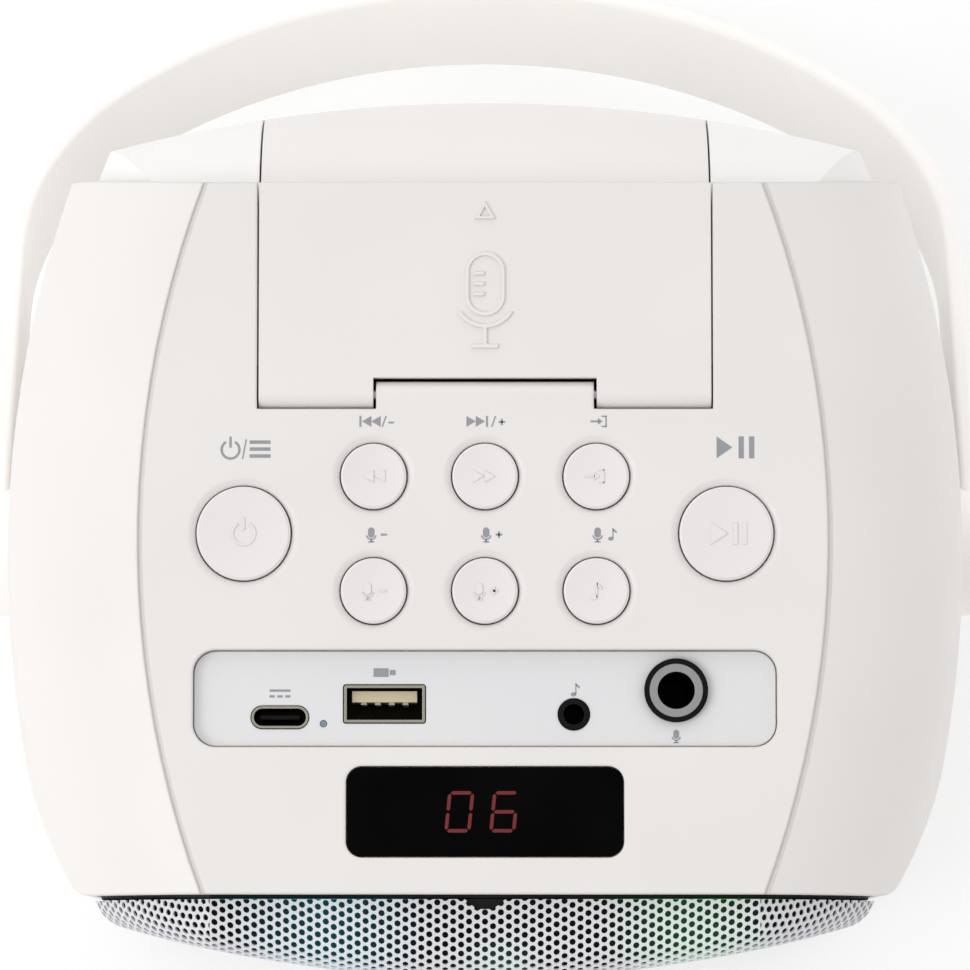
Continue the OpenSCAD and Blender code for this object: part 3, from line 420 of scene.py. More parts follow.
@dataclass(frozen=True)
class SmokedWindow:
    """Dark polished acrylic with the display shining from behind it."""

    name: str
    colour: str

    def build(self) -> bpy.types.Material:
        """Build the material."""
        material, tree, shader = new_material(self.name)
        colour = mottled(tree, self.colour, "060607", noise(tree, 12.0))
        tree.links.new(colour, shader.inputs["Base Color"])
        shader.inputs["Roughness"].default_value = 0.12
        shader.inputs["Specular IOR Level"].default_value = 0.03
        tree.links.new(rounded(tree, 0.3), shader.inputs["Normal"])
        return material


# Finishes, each named for the real material

HOUSING_ABS = MouldedPlastic("housing_satin_abs", "E9E5E2", "E6E2DF", 0.42, Grain.SATIN, 0.8)
COVER_ABS = MouldedPlastic("rear_cover_satin_abs", "F2F0EE", "EFEDEB", 0.42, Grain.SATIN, 0.5)
DOOR_ABS = MouldedPlastic("door_satin_abs", "EAE6E3", "E7E3E0", 0.42, Grain.SATIN, 0.3)
LINER_ABS = MouldedPlastic("liner_sparked_abs", "D8D6D2", "CFCDC9", 0.6, Grain.SPARKED, 0.4)
# Painted glow: the handle's finish emits 9 % of its own colour
HANDLE_ABS = MouldedPlastic("handle_satin_abs", "F5F2EF", "F2EFEC", 0.38, Grain.SATIN, 0.3,
                            painted_glow=0.09)
BUTTON_ABS = MouldedPlastic("button_satin_abs", "E9E5E4", "E6E2E1", 0.45, Grain.SATIN, 0.25)
PORT_ABS = MouldedPlastic("port_plate_matt_abs", "E2E2E3", "DFDFE1", 0.55, Grain.SPARKED, 0.3)
BLACK_ABS = MouldedPlastic("black_matt_abs", "101011", "151516", 0.45, Grain.SPARKED, 0.2, shine=0.2)
SMALL_BLACK = MouldedPlastic("moulded_black_nylon", "0A0A0B", "0E0E0F", 0.4, Grain.SATIN, 0.15,
                             shine=0.12)
# Painted pools of light around the lights behind the grille: place across, place in depth, colour and
# width
LIGHT_SPOTS = ((-27.0, -68.0, "2FD8E8", 19.0), (2.5, -75.0, "8FE8C0", 9.0),
               (35.5, -68.5, "4CF07C", 17.0))
# The grille's sheet and cloth carry painted light around the lights behind them
GRILLE_COAT = PaintedGlowCloth("grille_powder_coat", "DEDEE2", "D8D8DC", 0.5, LIGHT_SPOTS, 0.09)
GRILLE_CLOTH = PaintedGlowCloth("black_acoustic_cloth", "0C0C0D", "1A1A1C", 0.95,
                            LIGHT_SPOTS, 0.06)
STEEL = Metal("zinc_plated_steel", "C4C4C6", 0.32)
CHROME = Metal("chrome_plating", "B4B4B6", 0.12)
TIN = Metal("tinned_socket_shell", "B9B4A4", 0.25, 0.1, SOCKET_MOUTH_Z)
TONGUE_NYLON = MouldedPlastic("cream_nylon", "D2C6A6", "CBBF9F", 0.5, Grain.SATIN, 0.1)
SOLDER_MASK = PlainPart("green_solder_mask", "1F6A3C", "185430", 0.35, 6.0)
RUBBER = PlainPart("moulded_rubber", "1B1B1C", "222223", 0.75, 1.2)
CONE_PAPER = PlainPart("pressed_cone_paper", "2C2C2E", "242426", 0.85, 0.8)
SPIDER_CLOTH = PlainPart("stiffened_spider_cloth", "A8793A", "8E6530", 0.85, 0.7)
FERRITE = PlainPart("fired_ferrite", "4E4F53", "434448", 0.5, 1.5)
BLACK_STEEL = PlainPart("black_painted_steel", "232325", "2A2A2D", 0.45, 3.0)
ALUMINIUM = Metal("extruded_aluminium", "B4B6B9", 0.38)
COPPER = Metal("enamelled_copper_wire", "B87333", 0.35)
SHRINK_WRAP = PlainPart("cell_shrink_wrap", "4478A8", "3C6C9A", 0.3, 10.0)
WIRE_SLEEVE = PlainPart("wire_insulation", "A82020", "901A1A", 0.5, 3.0)
CABLE_GREY = PlainPart("ribbon_insulation", "CFCFC8", "BDBDB6", 0.5, 1.0)
WINDOW = SmokedWindow("smoked_acrylic", "020203")
LENS = PlainPart("milky_light_lens", "8C96A6", "7F8998", 0.3, 1.0)
PRINT_GREY = PlainPart("grey_pad_print", "969A9F", "8F9398", 0.6, 0.8)
RED_SEGMENT = Lit("lit_red_segment", "B81A1E", 0.34, "1A0406")
LED_RESIN = Lit("clear_light_resin", "C8FFF0", 0.6, "E8F4F2")
LIGHT_STRIP = Diffuser("milky_light_strip",
                       ((0.0, "06181A"), (0.3, "22C8D8"), (0.44, "06181A"), (0.6, "08180C"),
                        (0.78, "40E070"), (1.0, "08180C")), 0.9)

CAD_FINISHES: dict[str, Any] = {
    "housing": HOUSING_ABS, "rear_cover": COVER_ABS, "door": DOOR_ABS, "hinge_pin": STEEL,
    "compartment_liner": LINER_ABS, "handle": HANDLE_ABS, "pivot_bolts": STEEL, "pivot_nuts": STEEL,
    "pivot_caps": HANDLE_ABS, "grille": GRILLE_COAT, "grille_frame": BLACK_ABS,
    "front_baffle": BLACK_ABS, "light_board": SOLDER_MASK, "lights": LED_RESIN,
    "light_diffuser": LIGHT_STRIP, "speaker_basket": BLACK_STEEL, "speaker_magnet": FERRITE,
    "speaker_cone": CONE_PAPER, "speaker_surround": RUBBER, "speaker_dust_cap": CONE_PAPER,
    "voice_coil": COPPER, "speaker_spider": SPIDER_CLOTH, "speaker_screws": STEEL,
    "control_board": SOLDER_MASK, "switches": SMALL_BLACK, "display_window": WINDOW,
    "display_module": BLACK_ABS, "port_plate": PORT_ABS, "port_board": SOLDER_MASK,
    "usb_c_shell": TIN, "usb_c_tongue": SMALL_BLACK, "usb_shell": TIN, "usb_tongue": TONGUE_NYLON,
    "aux_jack": SMALL_BLACK, "mic_jack": SMALL_BLACK, "mic_jack_sleeve": CHROME,
    "mic_jack_nut": SMALL_BLACK, "status_lens": LENS, "main_board": SOLDER_MASK,
    "heat_sink": ALUMINIUM, "capacitors": SMALL_BLACK, "battery_cells": SHRINK_WRAP,
    "battery_cradle": BLACK_ABS, "feet": RUBBER, "cover_screws": STEEL, "board_screws": STEEL,
    "speaker_wires": WIRE_SLEEVE, "battery_wires": WIRE_SLEEVE, "ribbon_cable": CABLE_GREY,
}

_BUILT: dict[str, bpy.types.Material] = {}


def material_of(finish: Any) -> bpy.types.Material:
    """Build a finish once and return its material.

    Args:
        finish: one of the finishes above.

    Returns:
        The finish's material.
    """
    if finish.name not in _BUILT:
        _BUILT[finish.name] = finish.build()
    return _BUILT[finish.name]


def dress(piece: bpy.types.Object, finish: Any) -> None:
    """Give every slot of a piece one finish.

    Args:
        piece: mesh object.
        finish: finish to use.
    """
    material = material_of(finish)
    if not piece.data.materials:
        piece.data.materials.append(material)
    for slot in piece.material_slots:
        slot.material = material


# Modelling helpers

def select_only(piece: bpy.types.Object) -> None:
    """Deselect everything, then select one piece and make it active."""
    bpy.ops.object.select_all(action="DESELECT")
    piece.select_set(True)
    bpy.context.view_layer.objects.active = piece


def settle(piece: bpy.types.Object) -> None:
    """Put the piece's place into its mesh, so that its object sits at the origin."""
    select_only(piece)
    bpy.ops.object.transform_apply(location=True, rotation=True, scale=True)


def apply_modifiers(piece: bpy.types.Object) -> None:
    """Apply every modifier of a piece in order."""
    select_only(piece)
    for modifier in list(piece.modifiers):
        bpy.ops.object.modifier_apply(modifier=modifier.name)


def smooth(piece: bpy.types.Object, degrees: float = 35.0) -> None:
    """Shade a piece smooth up to an angle."""
    select_only(piece)
    bpy.ops.object.shade_smooth_by_angle(angle=math.radians(degrees))


def finish_piece(
    piece: bpy.types.Object,
    name: str,
    body: str,
    finish: Any,
    replaces: Sequence[str] = (),
) -> bpy.types.Object:
    """Name, dress and hang a finished piece on its body.

    Args:
        piece: mesh object in its place.
        name: name of the piece.
        body: body that it rides on.
        finish: finish to dress it in.
        replaces: CAD nodes that it stands for.

    Returns:
        The same piece.
    """
    settle(piece)
    piece.name = name
    piece.data.name = name
    dress(piece, finish)
    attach(piece, body)
    if replaces:
        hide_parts(*replaces)
    LOG.info("%s: %d faces on %s", name, len(piece.data.polygons), body)
    return piece


def flat_outline(points: Iterable[Point2], z_mm: float, thickness_mm: float) -> bpy.types.Object:
    """Make a thin plate from a closed outline seen from above.

    Args:
        points: corners in millimetres, in order.
        z_mm: height of the plate's underside.
        thickness_mm: thickness of the plate.

    Returns:
        The plate's object.
    """
    mesh = bpy.data.meshes.new("plate")
    piece = bpy.data.objects.new("plate", mesh)
    bpy.context.scene.collection.objects.link(piece)
    shape = bmesh.new()
    face = shape.faces.new([shape.verts.new((x * MM, y * MM, z_mm * MM)) for x, y in points])
    face.normal_update()
    if face.normal.z < 0:
        face.normal_flip()
    made = bmesh.ops.extrude_face_region(shape, geom=[face])
    top = [v for v in made["geom"] if isinstance(v, bmesh.types.BMVert)]
    bmesh.ops.translate(shape, verts=top, vec=(0, 0, thickness_mm * MM))
    bmesh.ops.recalc_face_normals(shape, faces=shape.faces[:])
    bmesh.ops.triangulate(shape, faces=shape.faces[:])
    shape.to_mesh(mesh)
    shape.free()
    return piece


def join(pieces: Sequence[bpy.types.Object]) -> bpy.types.Object:
    """Join pieces into the first one.

    Args:
        pieces: mesh objects.

    Returns:
        The joined object.
    """
    bpy.ops.object.select_all(action="DESELECT")
    for piece in pieces:
        piece.select_set(True)
    bpy.context.view_layer.objects.active = pieces[0]
    if len(pieces) > 1:
        bpy.ops.object.join()
    return pieces[0]


# The object's sub-assemblies

@dataclass
class GrilleForm:
    """The drawn form of the grille: a curved face, a rounded edge and short walls back to the rim."""

    side_x: float = 115.0
    rim_r: float = 200.1
    shoulder_r: float = 38.4
    shoulder_z: float = 133.8
    base_r: float = 10.0
    base_z: float = 4.0
    top_z: float = 170.0
    inset: float = 3.6
    trim_r: float = 92.5
    face_y: float = -75.7
    face_r: float = 234.0
    rim_y: float = -62.3
    edge_r: float = 4.5
    notch_half: float = 3.45
    notch_depth: float = 1.7
    batch: int = 20000
    low_steps: int = 14
    high_steps: int = 40

    def half_width(self, rim: np.ndarray) -> np.ndarray:
        """Half width at the rim's depth of a side curve of a given radius."""
        wide = np.sqrt(rim ** 2 - self.rim_y ** 2) - self.side_x
        return np.minimum(wide, math.sqrt(self.trim_r ** 2 - self.rim_y ** 2))

    def outline(self) -> np.ndarray:
        """Outline seen from the front, anticlockwise from the lower right, as rows of x and z."""
        low_r = self.base_r - self.inset
        turn = np.linspace(-math.pi / 2, 0, self.low_steps)
        low = np.stack([self.rim_r - self.base_r + low_r * np.cos(turn),
                        self.base_z + self.base_r + low_r * np.sin(turn)], 1)
        high_r = self.shoulder_r - self.inset
        last = math.asin((self.top_z - self.inset - self.shoulder_z) / high_r)
        turn = np.linspace(0, last, self.high_steps)
        high = np.stack([self.rim_r - self.shoulder_r + high_r * np.cos(turn),
                         self.shoulder_z + high_r * np.sin(turn)], 1)
        right = np.concatenate([low, high])
        right[:, 0] = self.half_width(right[:, 0])
        left = right[::-1] * (-1, 1)
        return np.concatenate([right, left])

    def place(self, flat: np.ndarray, sink: np.ndarray) -> tuple[np.ndarray, np.ndarray]:
        """Fold points of a flat sheet over the form.

        Args:
            flat: rows of x and z on the flat sheet.
            sink: depth of each point below the sheet's outer skin.

        Returns:
            Places of the points, and which of them lie beyond the rim.
        """
        corners = self.outline()
        along = np.roll(corners, -1, 0) - corners
        length = np.hypot(along[:, 0], along[:, 1])
        keep = length > 1e-6
        corners, along, length = corners[keep], along[keep], length[keep]
        outward = np.stack([along[:, 1], -along[:, 0]], 1) / length[:, None]
        nearest = np.empty_like(flat)
        facing = np.empty_like(flat)
        inside = np.empty(len(flat))
        for start in range(0, len(flat), self.batch):
            rows = slice(start, start + self.batch)
            part = flat[rows]
            to_point = part[:, None, :] - corners[None]
            share = np.clip((to_point * along).sum(2) / length ** 2, 0, 1)
            gap = to_point - share[..., None] * along
            distance = np.hypot(gap[..., 0], gap[..., 1])
            best = distance.argmin(1)
            row = np.arange(len(part))
            side = (to_point * outward).sum(2).max(1)
            nearest[rows] = part - gap[row, best]
            facing[rows] = outward[best]
            inside[rows] = np.where(side < 0, distance[row, best], -distance[row, best])
        run = np.maximum(self.edge_r - inside, 0)
        turn = np.minimum(run / self.edge_r, math.pi / 2)
        back = self.edge_r * (1 - np.cos(turn)) + np.maximum(run - self.edge_r * math.pi / 2, 0)
        spot = np.where(run[:, None] > 0,
                        nearest - facing * (self.edge_r * (1 - np.sin(turn)))[:, None], flat)
        lean = np.clip(spot[:, 0] / self.face_r, -1, 1)
        depth = self.face_y + self.face_r * (1 - np.sqrt(1 - lean ** 2)) + back
        skin = np.stack([spot[:, 0], depth, spot[:, 1]], 1)
        front = np.stack([lean, -np.sqrt(1 - lean ** 2), np.zeros_like(lean)], 1)
        side = np.stack([facing[:, 0], np.zeros_like(lean), facing[:, 1]], 1)
        normal = front * np.cos(turn)[:, None] + side * np.sin(turn)[:, None]
        point = skin - normal * sink[:, None]
        notch = self.notch_depth * np.clip((self.notch_half - np.abs(point[:, 0])) / 2, 0, 1)
        rim = self.rim_y - np.where(point[:, 2] > self.shoulder_z, notch, 0)
        beyond = point[:, 1] > rim
        point[:, 1] = np.minimum(point[:, 1], rim)
        return point, beyond


@dataclass
class PerforatedGrille:
    """Perforated sheet steel with its black acoustic cloth behind it."""

    form: GrilleForm
    pitch: float = 1.58
    hole_r: float = 0.56
    sheet_t: float = 0.36
    cloth_sink: float = 1.1
    margin: float = 18.0
    weld: float = 0.02
    cloth_cells: tuple[int, int] = (150, 170)

    def cell(self) -> bpy.types.Object:
        """Model one six-sided cell of the sheet with its hole, lying flat."""
        bpy.ops.object.select_all(action="DESELECT")
        bpy.ops.mesh.primitive_circle_add(vertices=6, radius=self.pitch / math.sqrt(3) * MM,
                                          rotation=(0, 0, math.radians(30)))
        piece = bpy.context.object
        settle(piece)
        bpy.ops.object.mode_set(mode="EDIT")
        bpy.ops.mesh.primitive_circle_add(vertices=8, radius=self.hole_r * MM)
        bpy.ops.mesh.select_all(action="SELECT")
        bpy.ops.mesh.bridge_edge_loops()
        shape = bmesh.from_edit_mesh(piece.data)
        for vert in shape.verts:
            vert.select = vert.co.length < 1.2 * self.hole_r * MM
        shape.select_flush_mode()
        bpy.ops.mesh.select_mode(type="VERT")
        drop = {"value": (0, 0, -self.sheet_t * MM)}
        bpy.ops.mesh.extrude_edges_move(TRANSFORM_OT_translate=drop)
        bpy.ops.object.mode_set(mode="OBJECT")
        return piece

    def flat_half(self, side: int) -> bpy.types.Object:
        """Repeat the cell over one half of the flat sheet.

        Args:
            side: 1 for the right half, -1 for the left.

        Returns:
            The flat half, in x and y, its skin at zero.
        """
        form = self.form
        step = self.pitch * math.sqrt(3) / 2
        wide = form.half_width(np.array([form.rim_r]))[0] + self.margin
        columns = int(wide / step / 2) + 1
        rows = int((form.top_z - form.base_z + 2 * self.margin) / self.pitch)
        parts = []
        for odd in (0, 1):
            part = self.cell()
            first = odd if side > 0 else odd - 2
            low = form.base_z - self.margin + odd * self.pitch / 2
            part.location = (first * step * MM, low * MM, 0)
            settle(part)
            for count, offset in ((rows, (0, self.pitch, 0)), (columns, (2 * side * step, 0, 0))):
                array = part.modifiers.new("repeat", "ARRAY")
                array.count = count
                array.use_relative_offset = False
                array.use_constant_offset = True
                array.constant_offset_displace = Vector(offset) * MM
            apply_modifiers(part)
            parts.append(part)
        return join(parts)

    def fold(self, piece: bpy.types.Object) -> None:
        """Fold a flat piece over the form and cut it off at the rim."""
        mesh = piece.data
        shape = bmesh.new()
        shape.from_mesh(mesh)
        bmesh.ops.remove_doubles(shape, verts=shape.verts[:], dist=self.weld * MM)
        shape.to_mesh(mesh)
        shape.free()
        flat = np.empty(3 * len(mesh.vertices), dtype=np.float32)
        mesh.vertices.foreach_get("co", flat)
        flat = flat.reshape(-1, 3).astype(float) / MM
        placed, beyond = self.form.place(flat[:, :2], -flat[:, 2])
        mesh.vertices.foreach_set("co", (placed * MM).astype(np.float32).ravel())
        shape = bmesh.new()
        shape.from_mesh(mesh)
        gone = [f for f in shape.faces if all(beyond[v.index] for v in f.verts)]
        bmesh.ops.delete(shape, geom=gone, context="FACES")
        loose = [v for v in shape.verts if not v.link_faces]
        bmesh.ops.delete(shape, geom=loose, context="VERTS")
        shape.to_mesh(mesh)
        shape.free()
        mesh.update()

    def cloth(self) -> bpy.types.Object:
        """Stretch the cloth just behind the sheet."""
        form = self.form
        high = form.top_z - form.base_z + 2 * self.margin
        wide = 2 * (form.half_width(np.array([form.rim_r]))[0] + self.margin)
        bpy.ops.object.select_all(action="DESELECT")
        across, upward = self.cloth_cells
        bpy.ops.mesh.primitive_grid_add(x_subdivisions=across, y_subdivisions=upward, size=1.0)
        piece = bpy.context.object
        piece.scale = (wide * MM, high * MM, 1)
        piece.location = (0, (form.base_z + form.top_z) / 2 * MM, -self.cloth_sink * MM)
        settle(piece)
        replace(self, form=replace(form, notch_depth=0.0)).fold(piece)
        return piece

    def build(self) -> None:
        """Build both halves of the sheet and the cloth."""
        for side, name in ((1, "grille_right"), (-1, "grille_left")):
            half = self.flat_half(side)
            self.fold(half)
            smooth(half, 40.0)
            finish_piece(half, name, Body.ROOT.value, GRILLE_COAT, ["grille"])
        cloth = self.cloth()
        smooth(cloth, 60.0)
        finish_piece(cloth, "grille_cloth", Body.ROOT.value, GRILLE_CLOTH, ["grille"])


@dataclass
class CarryHandle:
    """Arched band with rounded edges, on two round ends that turn on the pivots."""

    pivot: Point = (0.0, 3.5, 90.0)
    half_w: float = 91.8
    reach: float = 139.4
    band_w: float = 21.0
    band_t: float = 3.4
    arch_r: float = 107.0
    corner_r: float = 60.0
    fold_deg: float = 35.2
    end_r: float = 12.0
    end_x: tuple[float, float] = (85.7, 92.3)
    recess_r: float = 6.3
    recess_x: float = 89.1
    edge_r: float = 1.1
    step_deg: float = 1.5

    def band(self) -> bpy.types.Object:
        """Draw the band's rounded section up one arm, round the arch and down the other arm."""
        corner_x = self.half_w - self.corner_r
        arch_z = self.reach - self.arch_r
        corner_z = arch_z + math.sqrt((self.arch_r - self.corner_r) ** 2 - corner_x ** 2)
        meet = math.atan2(corner_z - arch_z, corner_x)
        bpy.ops.object.select_all(action="DESELECT")
        arm_x = self.half_w - self.band_t / 2
        bpy.ops.mesh.primitive_plane_add(size=MM, location=(arm_x * MM, 0, 0))
        piece = bpy.context.object
        piece.scale = (self.band_t, self.band_w, 1)
        settle(piece)
        bpy.ops.object.mode_set(mode="EDIT")
        bpy.ops.mesh.select_all(action="SELECT")
        bpy.ops.mesh.bevel(offset=self.edge_r * MM, segments=5, affect="VERTICES")
        lift = {"value": (0, 0, corner_z * MM)}
        bpy.ops.mesh.select_all(action="SELECT")
        bpy.ops.mesh.extrude_region_move(TRANSFORM_OT_translate=lift)
        for centre, turn in (((corner_x, 0, corner_z), meet), ((0, 0, arch_z), math.pi - 2 * meet),
                             ((-corner_x, 0, corner_z), meet)):
            steps = max(int(math.degrees(turn) / self.step_deg), 8)
            bpy.ops.mesh.spin(steps=steps, angle=turn, center=[value * MM for value in centre],
                              axis=(0, 1, 0))
        bpy.ops.mesh.extrude_region_move(TRANSFORM_OT_translate={"value": (0, 0, -corner_z * MM)})
        bpy.ops.mesh.select_all(action="SELECT")
        bpy.ops.mesh.remove_doubles(threshold=0.01 * MM)
        bpy.ops.mesh.normals_make_consistent(inside=False)
        bpy.ops.object.mode_set(mode="OBJECT")
        return piece

    def round_end(self, side: int) -> bpy.types.Object:
        """Shape a round end about the pivot's axis, with the recess for its cap.

        Args:
            side: 1 for the right arm, -1 for the left.

        Returns:
            The round end, at the pivot's height zero.
        """
        inner, outer = self.end_x
        bpy.ops.object.select_all(action="DESELECT")
        bpy.ops.mesh.primitive_cylinder_add(
            vertices=72, radius=self.end_r * MM, depth=(outer - inner) * MM,
            location=(side * (inner + outer) / 2 * MM, 0, 0), rotation=(0, side * math.pi / 2, 0))
        piece = bpy.context.object
        settle(piece)
        bpy.ops.object.mode_set(mode="EDIT")
        bpy.ops.mesh.select_mode(type="FACE")
        bpy.ops.mesh.select_all(action="DESELECT")
        shape = bmesh.from_edit_mesh(piece.data)
        for face in shape.faces:
            face.select = side * face.normal.x > 0.9
        shape.select_flush_mode()
        bpy.ops.mesh.inset(thickness=(self.end_r - self.recess_r) * MM)
        bpy.ops.mesh.extrude_region_move(
            TRANSFORM_OT_translate={"value": (side * (self.recess_x - outer) * MM, 0, 0)})
        bpy.ops.mesh.select_mode(type="EDGE")
        bpy.ops.mesh.select_all(action="DESELECT")
        shape = bmesh.from_edit_mesh(piece.data)
        for edge in shape.edges:
            ends = [(abs(v.co.x) / MM, math.hypot(v.co.y, v.co.z) / MM) for v in edge.verts]
            edge.select = all(x > outer - 0.1 and radius > self.end_r - 0.1 for x, radius in ends)
        shape.select_flush_mode()
        bpy.ops.mesh.bevel(offset=self.edge_r * MM, segments=4)
        bpy.ops.mesh.select_all(action="SELECT")
        bpy.ops.mesh.normals_make_consistent(inside=False)
        bpy.ops.object.mode_set(mode="OBJECT")
        return piece

    def build(self) -> None:
        """Build the handle, folded back."""
        piece = join([self.band(), self.round_end(1), self.round_end(-1)])
        piece.rotation_euler = (math.radians(-90 - self.fold_deg), 0, 0)
        piece.location = Vector(self.pivot) * MM
        settle(piece)
        smooth(piece, 40.0)
        finish_piece(piece, "carry_handle", Body.HANDLE.value, HANDLE_ABS, ["handle"])


# Flat shapes of the printed marks, in millimetres about their own middle

def bar(x: float, y: float, wide: float, high: float) -> list[Point2]:
    """Upright rectangle about a middle."""
    return [(x - wide / 2, y - high / 2), (x + wide / 2, y - high / 2),
            (x + wide / 2, y + high / 2), (x - wide / 2, y + high / 2)]


def wedge(x: float, y: float, wide: float, high: float) -> list[Point2]:
    """Triangle that points right, or left where the width is negative."""
    return [(x - wide / 2, y - high / 2), (x + wide / 2, y), (x - wide / 2, y + high / 2)]


def slash(x: float, y: float, high: float) -> list[Point2]:
    """Slanted stroke."""
    half = high / 2
    return [(x - 0.45, y - half), (x - 0.2, y - half), (x + 0.45, y + half), (x + 0.2, y + half)]


def bow(x: float, y: float, radius: float, line: float, start: float, end: float) -> list[Point2]:
    """Stroke along an arc, angles in degrees."""
    turns = [math.radians(start + (end - start) * step / 20) for step in range(21)]
    outer = [(x + radius * math.cos(t), y + radius * math.sin(t)) for t in turns]
    low = radius - line
    inner = [(x + low * math.cos(t), y + low * math.sin(t)) for t in reversed(turns)]
    return outer + inner


def disc(x: float, y: float, radius: float, stretch: float = 1.0) -> list[Point2]:
    """Round or oval spot."""
    turns = [math.tau * step / 20 for step in range(20)]
    return [(x + radius * math.cos(t), y + stretch * radius * math.sin(t)) for t in turns]


def microphone(x: float, y: float, size: float) -> list[list[Point2]]:
    """Small microphone on a stand."""
    head = [(x + 0.22 * size * math.cos(t), y + 0.12 * size + 0.22 * size * math.sin(t)
             + (0.12 * size if math.sin(t) > 0 else -0.12 * size))
            for t in [math.tau * (step + 0.5) / 20 for step in range(20)]]
    return [head, bow(x, y - 0.02 * size, 0.36 * size, 0.1 * size, 190, 350),
            bar(x, y - 0.42 * size, 0.1 * size, 0.16 * size),
            bar(x, y - 0.5 * size, 0.4 * size, 0.09 * size)]


def note(x: float, y: float, size: float) -> list[list[Point2]]:
    """Musical note."""
    return [disc(x - 0.15 * size, y - 0.35 * size, 0.2 * size, 0.75),
            bar(x + 0.02 * size, y + 0.05 * size, 0.08 * size, 0.8 * size),
            [(x + 0.02 * size, y + 0.45 * size), (x + 0.3 * size, y + 0.2 * size),
             (x + 0.3 * size, y + 0.05 * size), (x + 0.02 * size, y + 0.25 * size)]]


def arrow_in(x: float, y: float, size: float) -> list[list[Point2]]:
    """Arrow that enters a bracket."""
    return [bar(x - 0.45 * size, y, 0.7 * size, 0.16 * size),
            wedge(x + 0.05 * size, y, 0.4 * size, 0.6 * size),
            bar(x + 0.55 * size, y, 0.12 * size, size),
            bar(x + 0.35 * size, y + 0.44 * size, 0.4 * size, 0.12 * size),
            bar(x + 0.35 * size, y - 0.44 * size, 0.4 * size, 0.12 * size)]


@dataclass
class PanelPrints:
    """Grey pad-printed pictograms of the panel and of the port plate."""

    panel_z: float = 170.0
    plate_z: float = 168.2
    ink_t: float = 0.03
    large_row: float = 15.1
    upper_row: float = 19.9
    lower_row: float = 0.35

    def panel_marks(self) -> list[list[Point2]]:
        """Marks beside the buttons."""
        high, large, upper, lower = 1.9, self.large_row, self.upper_row, self.lower_row
        marks = [bow(-43.9, large - 0.1, 1.75, 0.42, 120, 420), bar(-43.9, large + 1.2, 0.42, 1.9),
                 slash(-41.5, large, 3.4)]
        marks += [bar(-38.8, large + dy, 3.6, 0.6) for dy in (-1.2, 0, 1.2)]
        marks += [wedge(41.3, large + 0.3, 2.7, 3.8)]
        marks += [bar(x, large + 0.3, 0.9, 3.8) for x in (44.2, 46.0)]
        marks += [bar(-21.5, upper, 0.35, high), wedge(-20.4, upper, -1.6, high),
                  wedge(-18.8, upper, -1.6, high), slash(-17.4, upper, high),
                  bar(-16.2, upper - 0.2, 0.95, 0.32)]
        marks += [wedge(-2.4, upper, 1.6, high), wedge(-0.8, upper, 1.6, high),
                  bar(0.35, upper, 0.35, high), slash(1.5, upper, high),
                  bar(2.9, upper - 0.1, 1.1, 0.34), bar(2.9, upper - 0.1, 0.34, 1.1)]
        marks += arrow_in(19.8, upper, 2.0)
        for x in (-19.6, 0.2, 19.4):
            marks += microphone(x, lower, 2.6)
        marks += [bar(-17.4, lower - 0.05, 1.1, 0.34), bar(2.4, lower - 0.05, 1.1, 0.34),
                  bar(2.4, lower - 0.05, 0.34, 1.1)]
        marks += note(22.0, lower + 0.05, 2.3)
        return marks

    def plate_marks(self) -> list[list[Point2]]:
        """Marks beside the sockets."""
        marks = [bar(-35.3, -26.5, 3.6, 0.4)]
        marks += [bar(-35.3 + dx, -27.5, 0.9, 0.4) for dx in (-1.35, 0, 1.35)]
        marks += [bar(-17.9, -23.4, 2.6, 1.5), bar(-15.9, -23.4, 1.0, 0.9)]
        marks += note(15.6, -26.3, 2.4) + microphone(32.9, -34.3, 2.3)
        return marks

    def build(self) -> None:
        """Print both groups of marks."""
        for name, marks, height in (("panel_print", self.panel_marks(), self.panel_z),
                                    ("port_print", self.plate_marks(), self.plate_z)):
            plates = [flat_outline(mark, height, self.ink_t) for mark in marks]
            finish_piece(join(plates), name, Body.ROOT.value, PRINT_GREY)


@dataclass
class SegmentDisplay:
    """Two lit seven-segment digits that shine from behind the smoked window."""

    window_z: float = 169.86
    middle_y: float = -47.4
    digit_h: float = 6.5
    digit_w: float = 3.9
    line: float = 0.6
    lean: float = 0.1

    SEGMENTS = {0: "abcdef", 6: "acdefg"}

    def digit(self, value: int, x: float) -> list[list[Point2]]:
        """Outlines of a digit's lit segments."""
        half_h, half_w, gap = self.digit_h / 2, self.digit_w / 2, 0.16
        level = {"a": half_h, "g": 0.0, "d": -half_h}
        upright = {"b": (1, 1), "c": (1, -1), "e": (-1, -1), "f": (-1, 1)}
        outlines = []
        for name in self.SEGMENTS[value]:
            if name in level:
                half = half_w - gap
                points = [(-half, 0), (-half + 0.3, -0.3), (half - 0.3, -0.3), (half, 0),
                          (half - 0.3, 0.3), (-half + 0.3, 0.3)]
                points = [(px, level[name] + py) for px, py in points]
            else:
                side, high = upright[name]
                half = half_h / 2 - gap
                points = [(0, -half), (0.3, -half + 0.3), (0.3, half - 0.3), (0, half),
                          (-0.3, half - 0.3), (-0.3, -half + 0.3)]
                points = [(side * half_w + px, high * half_h / 2 + py) for px, py in points]
            outlines.append([(x + px + self.lean * py, self.middle_y + py) for px, py in points])
        return outlines

    def build(self) -> None:
        """Light both digits."""
        outlines = self.digit(0, -4.4) + self.digit(6, 3.3)
        plates = [flat_outline(outline, self.window_z, 0.02) for outline in outlines]
        finish_piece(join(plates), "lit_digits", Body.ROOT.value, RED_SEGMENT)


